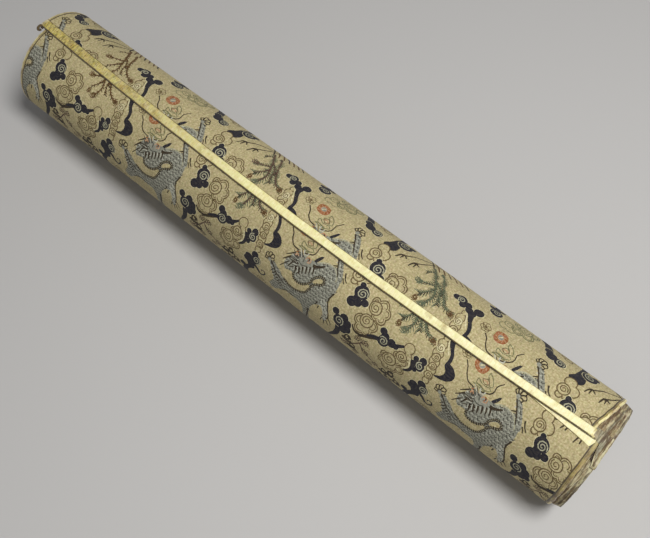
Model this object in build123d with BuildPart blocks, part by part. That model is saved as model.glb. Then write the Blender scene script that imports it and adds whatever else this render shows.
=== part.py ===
from build123d import *
from math import isclose
import os

# A rolled scroll lying on its side: a sheet wound on a wooden rod, with a woven
# silk cover as its outermost turn. X runs along the roll, Z is up, and the
# origin is below the middle of the roll, on the surface that it lies on.
# Angles are counted from +Y, the back, over the top towards -Y, the front.

# The roll and its cover
roll_radius = 27.5
cover_width = 331.0
cover_thickness = 1.0
cover_gap = 0.3
rim_skew = 3.0
flat_depth = 0.2

# The wound sheet and the rod in its middle
paper_thickness = 0.9
paper_gap = 0.3
outer_shift = 4.6
inner_shift = 6.0
rod_radius = 7.0
rod_recess = 0.6
rod_chamfer = 0.5

# The silk binding round the cover's four edges
binding_fold = 0.25
rim_band = 2.2
tongue_thickness = 0.5
tongue_inset = 0.3
trailing_band = 3.8

# The cover's free edge, where its binding is drawn over a thin batten
free_edge_left = -2.6
free_edge_middle = -8.0
free_edge_right = -5.0
leading_band_left = 4.9
leading_band_right = 3.8
leading_rise = 0.4
leading_fillet = 0.45
batten_width = 2.6
batten_chamfer = 0.25

# The cover's other end, mostly under the free edge
trailing_edge_left = 6.0
trailing_edge_middle = 4.3
trailing_edge_right = -4.7

# How far round from the top, in degrees, the overlapping layers are made
flap_sweep = 25
lap_sweep = 10
overlap_sweep = 45
lead_in_spare = 10

# Two half turns about two centres, one above the other, make one turn
half_step = (cover_thickness + cover_gap) / 2
back_z = roll_radius - flat_depth
front_z = back_z - half_step
axis_y = -half_step / 2
back_radius = roll_radius
flap_radius = roll_radius + half_step
front_radius = roll_radius - half_step
under_radius = roll_radius - 2 * half_step
top_only = front_z + roll_radius / 3

# Where the cover's rims are, so that the whole scroll is centred
total_length = cover_width + rim_skew / 2 + inner_shift
rim_left = rim_skew / 2 - total_length / 2
rim_right = rim_left + cover_width

# The cutting shapes reach this far past the origin, well clear of the roll
reach = total_length


def ring_sector(centre_z, outer_radius, inner_radius, start, sweep):
    """The face between two arcs about a point on the roll's upright centre line."""
    with BuildSketch() as sector:
        with BuildLine():
            outer = CenterArc((axis_y, centre_z), outer_radius, start, sweep)
            inner = CenterArc((axis_y, centre_z), inner_radius, start, sweep)
            Line(outer @ 0, inner @ 0)
            Line(outer @ 1, inner @ 1)
        make_face()
    return sector.sketch


def skewed_block(left, right, lean):
    """A block between two rims. They lean along X by lean from the roll's bottom to its top."""
    lean_over_reach = lean / (2 * roll_radius) * reach
    with BuildPart() as block:
        with BuildSketch(Plane.XZ):
            with BuildLine():
                Polyline(
                    (left - lean_over_reach, -reach),
                    (right - lean_over_reach, -reach),
                    (right + lean_over_reach, reach),
                    (left + lean_over_reach, reach),
                    close=True,
                )
            make_face()
        extrude(amount=reach, both=True)
    return block.part


def plan_region(near, far):
    """The top of the roll between two curves in plan. Each is y at the left, middle and right."""
    with BuildPart() as region:
        with BuildSketch(Plane.XY.offset(top_only)):
            with BuildLine():
                edges = []
                for y_left, y_middle, y_right in (near, far):
                    if isclose((y_left + y_right) / 2, y_middle):
                        edge = Line((-reach, y_left), (reach, y_right))
                    else:
                        edge = ThreePointArc((-reach, y_left), (0, y_middle), (reach, y_right))
                    edges.append(edge)
                Line(edges[0] @ 0, edges[1] @ 0)
                Line(edges[0] @ 1, edges[1] @ 1)
            make_face()
        extrude(amount=reach)
    return region.part


def along(left, middle, right):
    """Stretches a curve given over the cover's width to the reach of the cutting shapes."""
    stretch = 2 * reach / cover_width
    slope = (right - left) / 2
    bow = middle - (left + right) / 2
    centre = (left + right) / 2 + bow
    end = centre - bow * stretch**2
    return (end - slope * stretch, centre, end + slope * stretch)


far_front = (-reach,) * 3
far_back = (reach,) * 3
free_edge = along(free_edge_left, free_edge_middle, free_edge_right)
leading_band_middle = (leading_band_left + leading_band_right) / 2
leading_seam = along(
    free_edge_left + leading_band_left,
    free_edge_middle + leading_band_middle,
    free_edge_right + leading_band_right,
)
batten_front = tuple(y + binding_fold for y in free_edge)
batten_back = tuple(y + binding_fold + batten_width for y in free_edge)
trailing_edge = along(trailing_edge_left, trailing_edge_middle, trailing_edge_right)
trailing_seam = tuple(y - trailing_band for y in trailing_edge)
trailing_tongue = tuple(y - tongue_inset for y in trailing_edge)


def outer_half(depth_from, depth_to, left, right, front_line):
    """The cover from the roll's bottom up the back and over the top, to a line in plan."""
    with BuildPart() as half:
        with BuildSketch(Plane.YZ.offset(-reach)):
            add(ring_sector(back_z, back_radius - depth_from, back_radius - depth_to, -90, 180))
            add(ring_sector(front_z, flap_radius - depth_from, flap_radius - depth_to, 90, flap_sweep))
        extrude(amount=2 * reach)
        add(skewed_block(left, right, -rim_skew / 2), mode=Mode.INTERSECT)
        add(plan_region(far_front, front_line), mode=Mode.SUBTRACT)
    return half.part


def under_half(depth_from, depth_to, left, right, back_line):
    """The cover from the roll's bottom up the front and under the free edge, to a line in plan."""
    with BuildPart() as half:
        with BuildSketch(Plane.YZ.offset(-reach)):
            add(ring_sector(front_z, front_radius - depth_from, front_radius - depth_to, 90, 180))
            start = 90 - overlap_sweep
            add(ring_sector(back_z, under_radius - depth_from, under_radius - depth_to, start, overlap_sweep))
        extrude(amount=2 * reach)
        add(skewed_block(left, right, rim_skew / 2), mode=Mode.INTERSECT)
        add(plan_region(back_line, far_back), mode=Mode.SUBTRACT)
    return half.part


def whole_turn(depth_from, depth_to, left, right, front_line, back_line):
    """One turn of the cover between two depths below its outer face."""
    with BuildPart() as turn:
        add(outer_half(depth_from, depth_to, left, right, front_line))
        add(under_half(depth_from, depth_to, left, right, back_line))
    return turn.part


def flatten(part):
    """Takes off what is below the surface that the scroll lies on."""
    with BuildPart() as pressed:
        add(part)
        split(bisect_by=Plane.XY, keep=Keep.TOP)
    return pressed.part


def long_edges(part):
    """The edges that run along the roll."""
    return part.edges().filter_by(lambda e: e.length > cover_width / 2)


# The cover's thin edge all round, which the binding is folded over
tongue_top = (cover_thickness - tongue_thickness) / 2
tongue = whole_turn(
    tongue_top,
    tongue_top + tongue_thickness,
    rim_left + tongue_inset,
    rim_right - tongue_inset,
    batten_back,
    trailing_tongue,
)

with BuildPart() as brocade_cover:
    add(
        flatten(
            whole_turn(
                0,
                cover_thickness,
                rim_left + rim_band,
                rim_right - rim_band,
                leading_seam,
                trailing_seam,
            )
        )
    )
    add(tongue)

# The two bands along the rims
rim_bindings = {}
for name, left in (("left_rim_binding", rim_left), ("right_rim_binding", rim_right - rim_band)):
    with BuildPart() as rim_binding:
        add(
            flatten(
                whole_turn(0, cover_thickness, left, left + rim_band, leading_seam, trailing_seam)
            )
        )
        add(tongue, mode=Mode.SUBTRACT)
    rim_bindings[name] = rim_binding

# The band along the end that the free edge covers
with BuildPart() as trailing_binding:
    add(under_half(0, cover_thickness, rim_left, rim_right, trailing_edge))
    add(plan_region(trailing_seam, far_back), mode=Mode.INTERSECT)
    add(tongue, mode=Mode.SUBTRACT)

# The batten in the free edge
with BuildPart() as leading_batten:
    with BuildSketch(Plane.YZ.offset(-reach)):
        batten_inner = flap_radius - cover_thickness + binding_fold
        batten_outer = flap_radius + leading_rise - binding_fold
        start = 90 - lap_sweep
        add(ring_sector(front_z, batten_outer, batten_inner, start, lap_sweep + flap_sweep))
    extrude(amount=2 * reach)
    batten_left = rim_left + tongue_inset
    batten_right = rim_right - tongue_inset
    add(skewed_block(batten_left, batten_right, -rim_skew / 2), mode=Mode.INTERSECT)
    add(plan_region(batten_front, batten_back), mode=Mode.INTERSECT)
    chamfer(long_edges(leading_batten), batten_chamfer)

# The band that is drawn over the batten
with BuildPart() as leading_binding:
    with BuildSketch(Plane.YZ.offset(-reach)):
        band_inner = flap_radius - cover_thickness
        band_outer = flap_radius + leading_rise
        start = 90 - lap_sweep
        add(ring_sector(front_z, band_outer, band_inner, start, lap_sweep + flap_sweep))
    extrude(amount=2 * reach)
    add(skewed_block(rim_left, rim_right, -rim_skew / 2), mode=Mode.INTERSECT)
    add(plan_region(free_edge, leading_seam), mode=Mode.INTERSECT)
    upper_edges = long_edges(leading_binding).sort_by(Axis.Z)[-2:]
    fillet(upper_edges.sort_by(Axis.Y)[0], leading_fillet)
    add(leading_batten.part, mode=Mode.SUBTRACT)
    add(tongue, mode=Mode.SUBTRACT)

# The wound sheet: its first turn follows the cover, and the rest are evenly
# spaced down to the rod. Each row is a half turn's centre, radius and the angle
# that it starts at, and the centres change over with each half turn.
first_back = under_radius
first_front = under_radius - half_step
space = first_front - paper_thickness - rod_radius
half_turns = int(space / ((paper_thickness + paper_gap) / 2))
paper_step = space / half_turns
winding = [(back_z, first_back, -90), (front_z, first_front, 90)]
for _ in range(half_turns):
    (_, _, same_start), (last_z, last_radius, last_start) = winding[-2:]
    centre_z = last_z + paper_step if same_start < last_start else last_z - paper_step
    winding.append((centre_z, last_radius - paper_step, same_start))
rod_z = winding[-1][0]
lead_in_sweep = overlap_sweep + lead_in_spare

# Each half turn is slid along the roll by its share of the end's shallow cone
drift = (inner_shift - outer_shift) / (under_radius - rod_radius)

with BuildPart() as paper_roll:
    for index, (turn_z, turn_radius, start) in enumerate(winding):
        sweep = 180 if index else 180 - lead_in_sweep
        shift = inner_shift - (turn_radius - rod_radius) * drift
        with BuildSketch(Plane.YZ.offset(rim_left + shift)):
            add(ring_sector(turn_z, turn_radius, turn_radius - paper_thickness, start, sweep))
        extrude(amount=cover_width)
    with BuildPart(mode=Mode.PRIVATE) as lead_in:
        with BuildSketch(Plane.YZ.offset(rim_left + outer_shift)):
            inner = under_radius - paper_thickness
            add(ring_sector(back_z, under_radius, inner, 90 - lead_in_sweep, lead_in_sweep))
            inner = front_radius - paper_thickness
            add(ring_sector(front_z, front_radius, inner, 90, flap_sweep))
        extrude(amount=cover_width)
        add(plan_region(far_front, trailing_edge), mode=Mode.SUBTRACT)
    add(lead_in.part)

# The rod, a little short of the sheet at both ends
with BuildPart() as rod:
    with BuildSketch(Plane.YZ.offset(rim_left + inner_shift + rod_recess)):
        with Locations((axis_y, rod_z)):
            Circle(rod_radius)
    extrude(amount=cover_width - 2 * rod_recess)
    chamfer(rod.edges().filter_by(GeomType.CIRCLE), rod_chamfer)

pieces = {
    "brocade_cover": brocade_cover,
    **rim_bindings,
    "trailing_binding": trailing_binding,
    "leading_binding": leading_binding,
    "leading_batten": leading_batten,
    "paper_roll": paper_roll,
    "rod": rod,
}
os.makedirs("parts", exist_ok=True)
for name, piece in pieces.items():
    piece.part.label = name
    export_step(piece.part, f"parts/{name}.step")
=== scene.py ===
import math

import bmesh
import bpy
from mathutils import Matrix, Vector, noise
from mathutils.bvhtree import BVHTree
from mathutils.geometry import delaunay_2d_cdt


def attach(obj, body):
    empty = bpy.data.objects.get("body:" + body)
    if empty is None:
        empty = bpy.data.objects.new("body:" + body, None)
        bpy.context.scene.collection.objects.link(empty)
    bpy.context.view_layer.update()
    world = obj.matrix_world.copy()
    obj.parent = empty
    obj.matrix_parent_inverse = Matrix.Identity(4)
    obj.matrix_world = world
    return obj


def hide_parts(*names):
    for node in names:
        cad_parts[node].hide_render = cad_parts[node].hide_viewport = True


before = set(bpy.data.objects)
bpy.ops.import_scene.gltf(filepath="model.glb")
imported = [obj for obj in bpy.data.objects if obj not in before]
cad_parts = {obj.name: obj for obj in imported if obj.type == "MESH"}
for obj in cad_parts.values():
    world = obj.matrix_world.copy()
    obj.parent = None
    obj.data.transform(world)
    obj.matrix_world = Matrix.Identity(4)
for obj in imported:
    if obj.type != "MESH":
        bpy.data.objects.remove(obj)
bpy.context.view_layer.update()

# Lengths are in millimetres until they go into a mesh
MM = 0.001

# The roll, as packed. One turn of the cover is two half turns about two
# centres, one above the other. Angles are counted in degrees from +Y, the
# back, over the top towards -Y, and go on down to the cover's other end.
ROLL_RADIUS = 27.5
HALF_STEP = 0.65
FLAT_DEPTH = 0.2
# The figured cloth laid flat, between its bindings, in metres
COVER_WIDTH = 331.0
COVER_THICKNESS = 1.0
RIM_LEFT = -167.75
RIM_RIGHT = RIM_LEFT + COVER_WIDTH
RIM_SKEW = 3.0
RIM_BAND = 2.2
# Where the free edge's strip ends at the right
RIGHT_END = 159.8
# How far the right rim strays from that skew: angles and distances to the right
RIGHT_RIM = ((-262, -0.8), (-230, -0.6), (-195, 0), (-40, 0), (37, 1.7))
RIGHT_RIM += ((60, 0.6), (75, -0.6), (87, -1.9), (100, -2.5))
BACK_Z = ROLL_RADIUS - FLAT_DEPTH
FRONT_Z = BACK_Z - HALF_STEP
AXIS_Y = -HALF_STEP / 2
FRONT_RADIUS = ROLL_RADIUS - HALF_STEP
FLAP_RADIUS = ROLL_RADIUS + HALF_STEP
UNDER_RADIUS = ROLL_RADIUS - 2 * HALF_STEP

# The cover's two seams in plan: y at the left rim, the middle and the right rim
LEADING_SEAM = (2.3, -3.65, -1.2)
TRAILING_SEAM = (2.2, 0.5, -8.5)

# The ends of the cover beyond those seams
FREE_EDGE = (-2.6, -8.0, -5.0)
TRAILING_EDGE = (6.0, 4.3, -4.7)

# The wound sheet: its turns and how far its two ends stand out of the rims
PAPER_THICKNESS = 0.9
PAPER_GAP = 0.3
OUTER_SHIFT = 4.6
INNER_SHIFT = 6.0
ROD_RADIUS = 7.0
# How far its outer turn runs on under the cover's other end, in degrees
OVERLAP = 55.0

# The outer turn's layers, and how far past the top its end frays at the right
# The last of these is not paper: it is a dark sheet of painted shadow in the gap at the frayed end
BROWN, CREAM, GREY, PALE, LIT_EDGE, GAP_SHADE = range(6)
PLY_COLOURS = (BROWN, CREAM, GREY, BROWN, PALE, GREY)
PLIES = len(PLY_COLOURS)
FRAY_ANGLE = 114.5
SLIVER_ANGLE = 120.5
PAPER_END = RIM_RIGHT + OUTER_SHIFT

# The pattern's flat coordinates: x along the roll from the cover's left rim,
# and the way round, in millimetres at the size of one degree here
ROUND_STEP = 0.48
ROUND_START = -3.5
PATTERN_LEFT = -167.8
REPEAT_ALONG = 96.6
REPEAT_ROUND = 79.75
# The repeats that the cloth needs each way, and the one that the motifs are drawn in
REPEATS = range(-1, 4)
DRAWN_COLUMN = 2
# How far the figure strays, as the size of the patches that stray and the distance
THREAD_DRIFT = (2.6, 0.22)
CLOTH_DRIFT = (14.0, 0.5)
# It strays the same way in every run
DRIFT_SEED = 1
noise.seed_set(DRIFT_SEED)
# How far the cloth lies to the right of true at places along the roll
STRETCH = ((-10, -1.5), (60, -0.8), (82, 0.2), (106, 1.6), (135, 1.4), (175, -0.2), (331, -0.4))
# The back's and the front's angles between which the front's own place fades in
BACK_ANGLE, FRONT_ANGLE = 35, -160
# The front's lift, and how it sinks again beyond a place towards the right end
FRONT_LIFT = 0.5
SINK_START = 230
SINK = 0.00083


def share_of(value, start, span):
    """How far a value has come from a start over a span, from 0 to 1."""
    return min(1, max(0, (value - start) / span))


def between(table, at):
    """The value at a place in a table of places and values, eased from each to the next."""
    for (left, start), (right, end) in zip(table, table[1:]):
        if at <= right:
            share = share_of(at, left, right - left)
            return start + (end - start) * share * share * (3 - 2 * share)
    return table[-1][1]


def around(x, y, distance, angle):
    """The flat point at a distance and an angle in radians from another."""
    return x + distance * math.cos(angle), y + distance * math.sin(angle)


def pairs(ring):
    """Each item of a ring with the next, and the last with the first."""
    return zip(ring, ring[1:] + ring[:1])


def extent(points):
    """The lowest and the highest x, then y, of flat points."""
    xs, ys = [p[0] for p in points], [p[1] for p in points]
    return min(xs), max(xs), min(ys), max(ys)


def linked(name, data):
    """A new object of the scene, with its data."""
    holder = bpy.data.objects.new(name, data)
    bpy.context.scene.collection.objects.link(holder)
    return holder


def srgb(red, green, blue):
    """A colour of 0 to 255 a channel, as the shaders take it."""
    channels = []
    for value in (red, green, blue):
        value /= 255
        channels.append(value / 12.92 if value <= 0.04045 else ((value + 0.055) / 1.055) ** 2.4)
    return (*channels, 1.0)


# The cover's form


def section(angle):
    """The centre's height and the radius of the cover's outer face at an angle."""
    if angle >= 90:
        return FRONT_Z, FLAP_RADIUS
    if angle >= -90:
        return BACK_Z, ROLL_RADIUS
    if angle >= -270:
        return FRONT_Z, FRONT_RADIUS
    return BACK_Z, UNDER_RADIUS


def on_turn(x, angle, depth=0.0):
    """The point of the cover at an angle, depth below its outer face, in metres, and the way out."""
    centre_z, radius = section(angle)
    out_y = math.cos(math.radians(angle))
    out_z = math.sin(math.radians(angle))
    y = AXIS_Y + (radius - depth) * out_y
    z = centre_z + (radius - depth) * out_z
    return Vector((x * MM, y * MM, max(z, 0) * MM)), Vector((0, out_y, out_z))


def rim_lean(angle):
    """How far the rims lie to the right at an angle."""
    centre_z, radius = section(angle)
    height = centre_z + radius * math.sin(math.radians(angle))
    lean = RIM_SKEW / 2 * height / (2 * ROLL_RADIUS)
    return -lean if angle > -90 else lean


def right_lean(angle):
    """How far the right rim alone lies to the right, as it was cut less true."""
    return rim_lean(angle) + between(RIGHT_RIM, angle)


def plan_curve(line, x):
    """The y of a curve in plan, given at the left rim, the middle and the right rim."""
    left, middle, right = line
    share = (x - RIM_LEFT - COVER_WIDTH / 2) / (COVER_WIDTH / 2)
    bow = middle - (left + right) / 2
    return middle + (right - left) / 2 * share - bow * share**2


def leading_angle(x, line=LEADING_SEAM):
    """The angle of a plan curve on the cover's upper layer."""
    y = plan_curve(line, x) - AXIS_Y
    radius = FLAP_RADIUS if y < 0 else ROLL_RADIUS
    return math.degrees(math.acos(y / radius))


def trailing_angle(x, line=TRAILING_SEAM):
    """The angle of a plan curve on the cover's lower layer."""
    y = plan_curve(line, x) - AXIS_Y
    radius = FRONT_RADIUS if y < 0 else UNDER_RADIUS
    return math.degrees(math.acos(y / radius)) - 360


def round_of(angle):
    """The flat way round at an angle."""
    return ROUND_START + ROUND_STEP * angle


def angle_of(way_round):
    """The angle at a flat way round."""
    return (way_round - ROUND_START) / ROUND_STEP


# Flat shapes


def eased(t, p, q, r, s):
    """The value at a share t between q and r on a smooth line through p, q, r and s."""
    return 0.5 * (2 * q + (r - p) * t + (2 * p - 5 * q + 4 * r - s) * t**2 + (3 * q - p - 3 * r + s) * t**3)


def smooth(points, step, closed=False):
    """A smooth line through the points, as points about step apart."""
    count = len(points)
    spans = count if closed else count - 1
    line = []
    for i in range(spans):
        if closed:
            a, b, c, d = (points[(i + k) % count] for k in (-1, 0, 1, 2))
        else:
            a, b, c, d = (points[min(max(i + k, 0), count - 1)] for k in (-1, 0, 1, 2))
        steps = max(1, round(math.dist(b[:2], c[:2]) / step))
        for k in range(steps):
            t = k / steps
            line.append(tuple(eased(t, *values) for values in zip(a, b, c, d)))
    if not closed:
        line.append(tuple(points[-1]))
    return line


def turning(points):
    """Twice a polygon's area, over zero where its corners run counter-clockwise."""
    return sum(a[0] * b[1] - b[0] * a[1] for a, b in pairs(points))


def turned(points):
    """The polygon with its corners counter-clockwise."""
    return points if turning(points) > 0 else points[::-1]


def flat_area(points):
    return abs(turning(points)) / 2


def inside(point, polygon):
    """Whether a flat point is in a polygon."""
    x, y = point
    found = False
    for (ax, ay), (bx, by) in pairs(polygon):
        if (ay > y) != (by > y) and x < (bx - ax) * (y - ay) / (by - ay) + ax:
            found = not found
    return found


# How far apart the points of the drawn lines are, and too far to add any between them
LINE_STEP = 1.1
STRAIGHT = 3


class Cell:
    """One repeat of the pattern: coloured polygons, the later ones over the earlier ones."""

    def __init__(self):
        self.shapes = []

    def polygon(self, colour, points):
        self.shapes.append((colour, turned([tuple(p[:2]) for p in points])))

    def blob(self, colour, points):
        """A closed smooth shape through the points."""
        line = smooth(points, LINE_STEP, closed=True)
        self.polygon(colour, line)
        return line

    def disc(self, colour, x, y, r):
        corners = max(7, round(2 * math.pi * r))
        turn = 2 * math.pi / corners
        self.polygon(colour, [around(x, y, r, i * turn) for i in range(corners)])

    def line(self, colour, points, width, end_width=None, step=LINE_STEP):
        """A stroke along a smooth line, from one width to the other."""
        if end_width is None:
            end_width = width
        centre = smooth(points, step)
        last = len(centre) - 1
        left, right = [], []
        for i, (x, y) in enumerate(centre):
            ax, ay = centre[max(i - 1, 0)]
            bx, by = centre[min(i + 1, last)]
            length = math.hypot(bx - ax, by - ay) or 1.0
            half = (width + (end_width - width) * i / last) / 2
            nx, ny = -(by - ay) / length * half, (bx - ax) / length * half
            left.append((x + nx, y + ny))
            right.append((x - nx, y - ny))
        for i in range(last):
            corners = [right[i], right[i + 1], left[i + 1], left[i]]
            mx, my = sum(p[0] for p in corners) / 4, sum(p[1] for p in corners) / 4
            # In order round their middle, so that no quad crosses itself in a tight bend
            self.polygon(colour, sorted(corners, key=lambda p: math.atan2(p[1] - my, p[0] - mx)))

    def spiral(self, colour, x, y, r, turns, width, start, handed=1):
        """A spiral stroke from near its centre out to the radius r, starting at an angle in degrees."""
        steps = max(9, round(turns * 9))
        inner = width * 0.8
        points = []
        for i in range(steps + 1):
            share = i / steps
            angle = math.radians(start) + handed * 2 * math.pi * turns * share
            points.append(around(x, y, inner + (r - inner) * share, angle))
        self.line(colour, points, width, step=9)

    def discs(self, colour, places, grown=0.0):
        """Discs at places that give x, y and radius first, larger than said by grown."""
        for x, y, r, *_ in places:
            self.disc(colour, x, y, r + grown)

    def cloud(self, lobes, curl):
        """A navy cloud of round lobes with a thin light rim, and a spiral on it."""
        self.discs("pale", lobes, 0.25)
        self.discs("navy", lobes)
        x, y, r, turns, start, handed = curl
        self.spiral("cream", x, y, r + 0.3, turns, 0.5, start, handed)

    def outlined(self, colour, lobes, mains=(), width=0.55, inner=0.0, core=()):
        """A cloud in outline: lobes that run together, an inner line, and discs with spirals over them."""
        self.discs(colour, lobes)
        self.discs("ground", lobes, -width)
        if inner:
            self.discs(colour, lobes, -inner)
            self.discs("ground", lobes, -inner - width * 0.8)
            self.discs("ground", core)
        for x, y, r, turns, start, handed in mains:
            self.disc(colour, x, y, r)
            self.disc("ground", x, y, r - width)
            self.spiral(colour, x, y, r - width * 1.7, turns * 0.85, width * 0.9, start, handed)

    def flower(self, colour, x, y, r, petals=5):
        for i in range(petals):
            px, py = around(x, y, r * 0.6, 2 * math.pi * i / petals + x)
            self.disc(colour, px, py, r * 0.5)
            self.disc("ground", px, py, r * 0.5 - 0.3)
        self.disc(colour, x, y, r * 0.3)

    def beaded(self, points):
        """A dark edge of short slanting stitches, light ones between them."""
        self.line("dark", points, 0.95)
        stitches = smooth(points, 0.95)
        for (ax, ay), (bx, by) in zip(stitches, stitches[1:]):
            dx, dy = (bx - ax) * 0.62, (by - ay) * 0.62
            slant = [(bx - dx - dy, by - dy + dx), (bx + dx + dy, by + dy - dx)]
            light = [(bx - 0.4 * dy, by + 0.4 * dx), (bx + 0.4 * dy, by - 0.4 * dx)]
            self.line("dark", slant, 0.65, 0.5, STRAIGHT)
            self.line("cream", light, 0.3, step=STRAIGHT)

    def tuft(self, colour, x, y, r):
        """A burst of short bent strokes round a point."""
        strokes = 11
        for i in range(strokes):
            angle = 2 * math.pi * i / strokes + x
            reach = r * (0.8 + 0.2 * math.sin(5 * i + y))
            near, mid = around(x, y, 0.3, angle), around(x, y, 0.7 * reach, angle)
            self.line(colour, [near, mid, around(x, y, reach, angle + 0.5)], 0.5, 0.35, step=2)

    def needles(self, colour, points, width, length, gap):
        """A stem with short needles on both its sides."""
        self.line(colour, points, width, width * 0.6)
        centre = smooth(points, gap)
        for i, ((ax, ay), (bx, by)) in enumerate(zip(centre, centre[1:]), 1):
            size = math.hypot(bx - ax, by - ay)
            dx, dy = (bx - ax) / size, (by - ay) / size
            for side in (-1, 1):
                reach = length * (0.7 + 0.3 * math.sin(7 * i + 2 * side))
                tip = (bx + (dx * 0.8 - dy * side * 0.8) * reach, by + (dy * 0.8 + dx * side * 0.8) * reach)
                self.line(colour, [(bx, by), tip], 0.5, 0.3, STRAIGHT)


# The motifs of one repeat, in flat millimetres


def navy_clouds(c):
    """The filled clouds among the dragons, with their tails."""
    lobes = [(217.3, 37.2, 1.4), (218.8, 40.4, 3.4), (217, 46.3, 2.4), (219.6, 45.3, 2), (222.4, 43.6, 1.8)]
    c.cloud(lobes + [(218.5, 43.5, 2)], (219.3, 40.8, 2.3, 1.9, 40, 1))
    lobes = [(213, 54.8, 1.9), (217.9, 55.4, 2.2), (216, 58.6, 3.2), (220.4, 57.4, 2.3), (221.3, 60, 2.2)]
    c.cloud(lobes + [(219, 61.6, 2.4)], (216, 58.4, 2.2, 1.6, 200, 1))
    c.line("navy", [(216.5, 62), (216.2, 67), (213.5, 73), (210.5, 79)], 3.4, 1.0)
    lobes = [(236, 48.2, 1.8), (237.8, 50, 2.1), (238, 52.3, 2.9), (241.6, 50.8, 2.2), (244, 50.9, 1.5)]
    c.cloud(lobes, (238, 52.4, 2, 1.7, 90, -1))
    c.line("navy", [(243.5, 50.8), (246, 49), (247.3, 48)], 2.2, 1.2)
    c.line("navy", [(236.5, 53), (233.5, 53.6), (230.5, 55.3)], 2.4, 0.9)
    lobes = [(257.7, 47.9, 1.8), (254.5, 49, 1.4), (257.2, 50.8, 2.4), (256, 53.8, 1.2)]
    c.cloud(lobes, (257.3, 50.7, 1.6, 1.6, 60, 1))
    c.line("pale", [(252.2, 50.8), (253.1, 54), (252.6, 56.2), (250.6, 58)], 0.9, 0.5)
    c.line("navy", [(253.8, 50.3), (254.6, 53.4), (254, 56), (251.8, 58.2)], 2.6, 0.8)
    lobes = [(262, 57.8, 2.1), (263.2, 60.3, 2.8), (258.9, 61, 2.3), (257.8, 62.8, 1.8), (260.6, 63.6, 2.9)]
    c.cloud(lobes + [(260.8, 66.3, 2.2)], (263.5, 60.4, 2, 1.8, 150, 1))
    c.line("navy", [(262.5, 63.8), (264.6, 65), (266.2, 67.2), (268.2, 67.3)], 1.9, 1.0)
    c.line("navy", [(268.2, 67.3), (269.6, 65.3), (268.9, 63.6), (267.4, 63.7), (267.2, 65)], 1.0, 0.5)
    c.line("navy", [(261.5, 66), (258.5, 69.5), (256.4, 74), (256, 80)], 2.6, 3.4)
    c.disc("navy", 255.6, 69.6, 1.9)


def navy_spine(c):
    """The two clouds that grow into one thin stem with a drop at its end."""
    c.line("pale", [(261, 32.4), (262.4, 35.6), (264.4, 38.8)], 0.8, 0.5)
    lobes = [(252.6, 27.8, 1.8), (255.2, 27.2, 2.5), (256.8, 30, 1.8)]
    lobes += [(258.8, 28.2, 1.9), (260.6, 30.4, 1.9)]
    c.cloud(lobes + [(264.3, 28.2, 2.3), (262.4, 31.2, 1.9)], (255.2, 27.6, 1.5, 1.5, 300, -1))
    c.line("navy", [(262.2, 30.5), (263, 33.4), (264.2, 35.6)], 3.4, 1.7)
    c.line("navy", [(264.2, 35.6), (265.6, 37.6), (266.3, 40), (266, 42.6)], 1.7, 1.6)
    drop = [(265.2, 41.4), (267, 41.2), (269.6, 41.8), (271.7, 43.8), (271.9, 46.2), (270.2, 48.4)]
    drop += [(267.4, 49.4), (264.2, 50), (264, 49.4), (266.2, 48.2)]
    drop += [(267.2, 46.4), (266.9, 44.4), (265.4, 43)]
    c.blob("navy", drop)


def navy_upper(c):
    """The clouds high on the back."""
    c.line("navy", [(194, 9), (197.3, 13.5), (199.6, 19), (201.6, 22.6)], 3.2, 4.2)
    c.cloud([(202, 22.9, 2.7), (206.3, 23.9, 2.7), (199.8, 20.3, 2)], (206.3, 23.9, 1.9, 1.6, 180, 1))
    c.line("navy", [(215.8, 8), (216, 14), (215.4, 20)], 3.0, 2.6)
    foot = [(214.4, 19), (217.6, 19.5), (219, 25.5), (217.2, 28.6), (213, 28.4), (211.7, 26.6), (213.6, 23)]
    c.blob("navy", foot)
    c.cloud([(219.3, 18.5, 3.7), (222, 15.8, 1.9)], (219.4, 18.2, 2.6, 1.7, 30, 1))
    c.cloud([(269.3, 19.8, 3.2), (266.4, 16.2, 1.9), (271, 14.5, 1.7)], (269.4, 19.6, 2.1, 1.6, 20, -1))
    c.line("navy", [(269, 17), (268, 12), (270, 7)], 3.2, 1.6)


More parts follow.
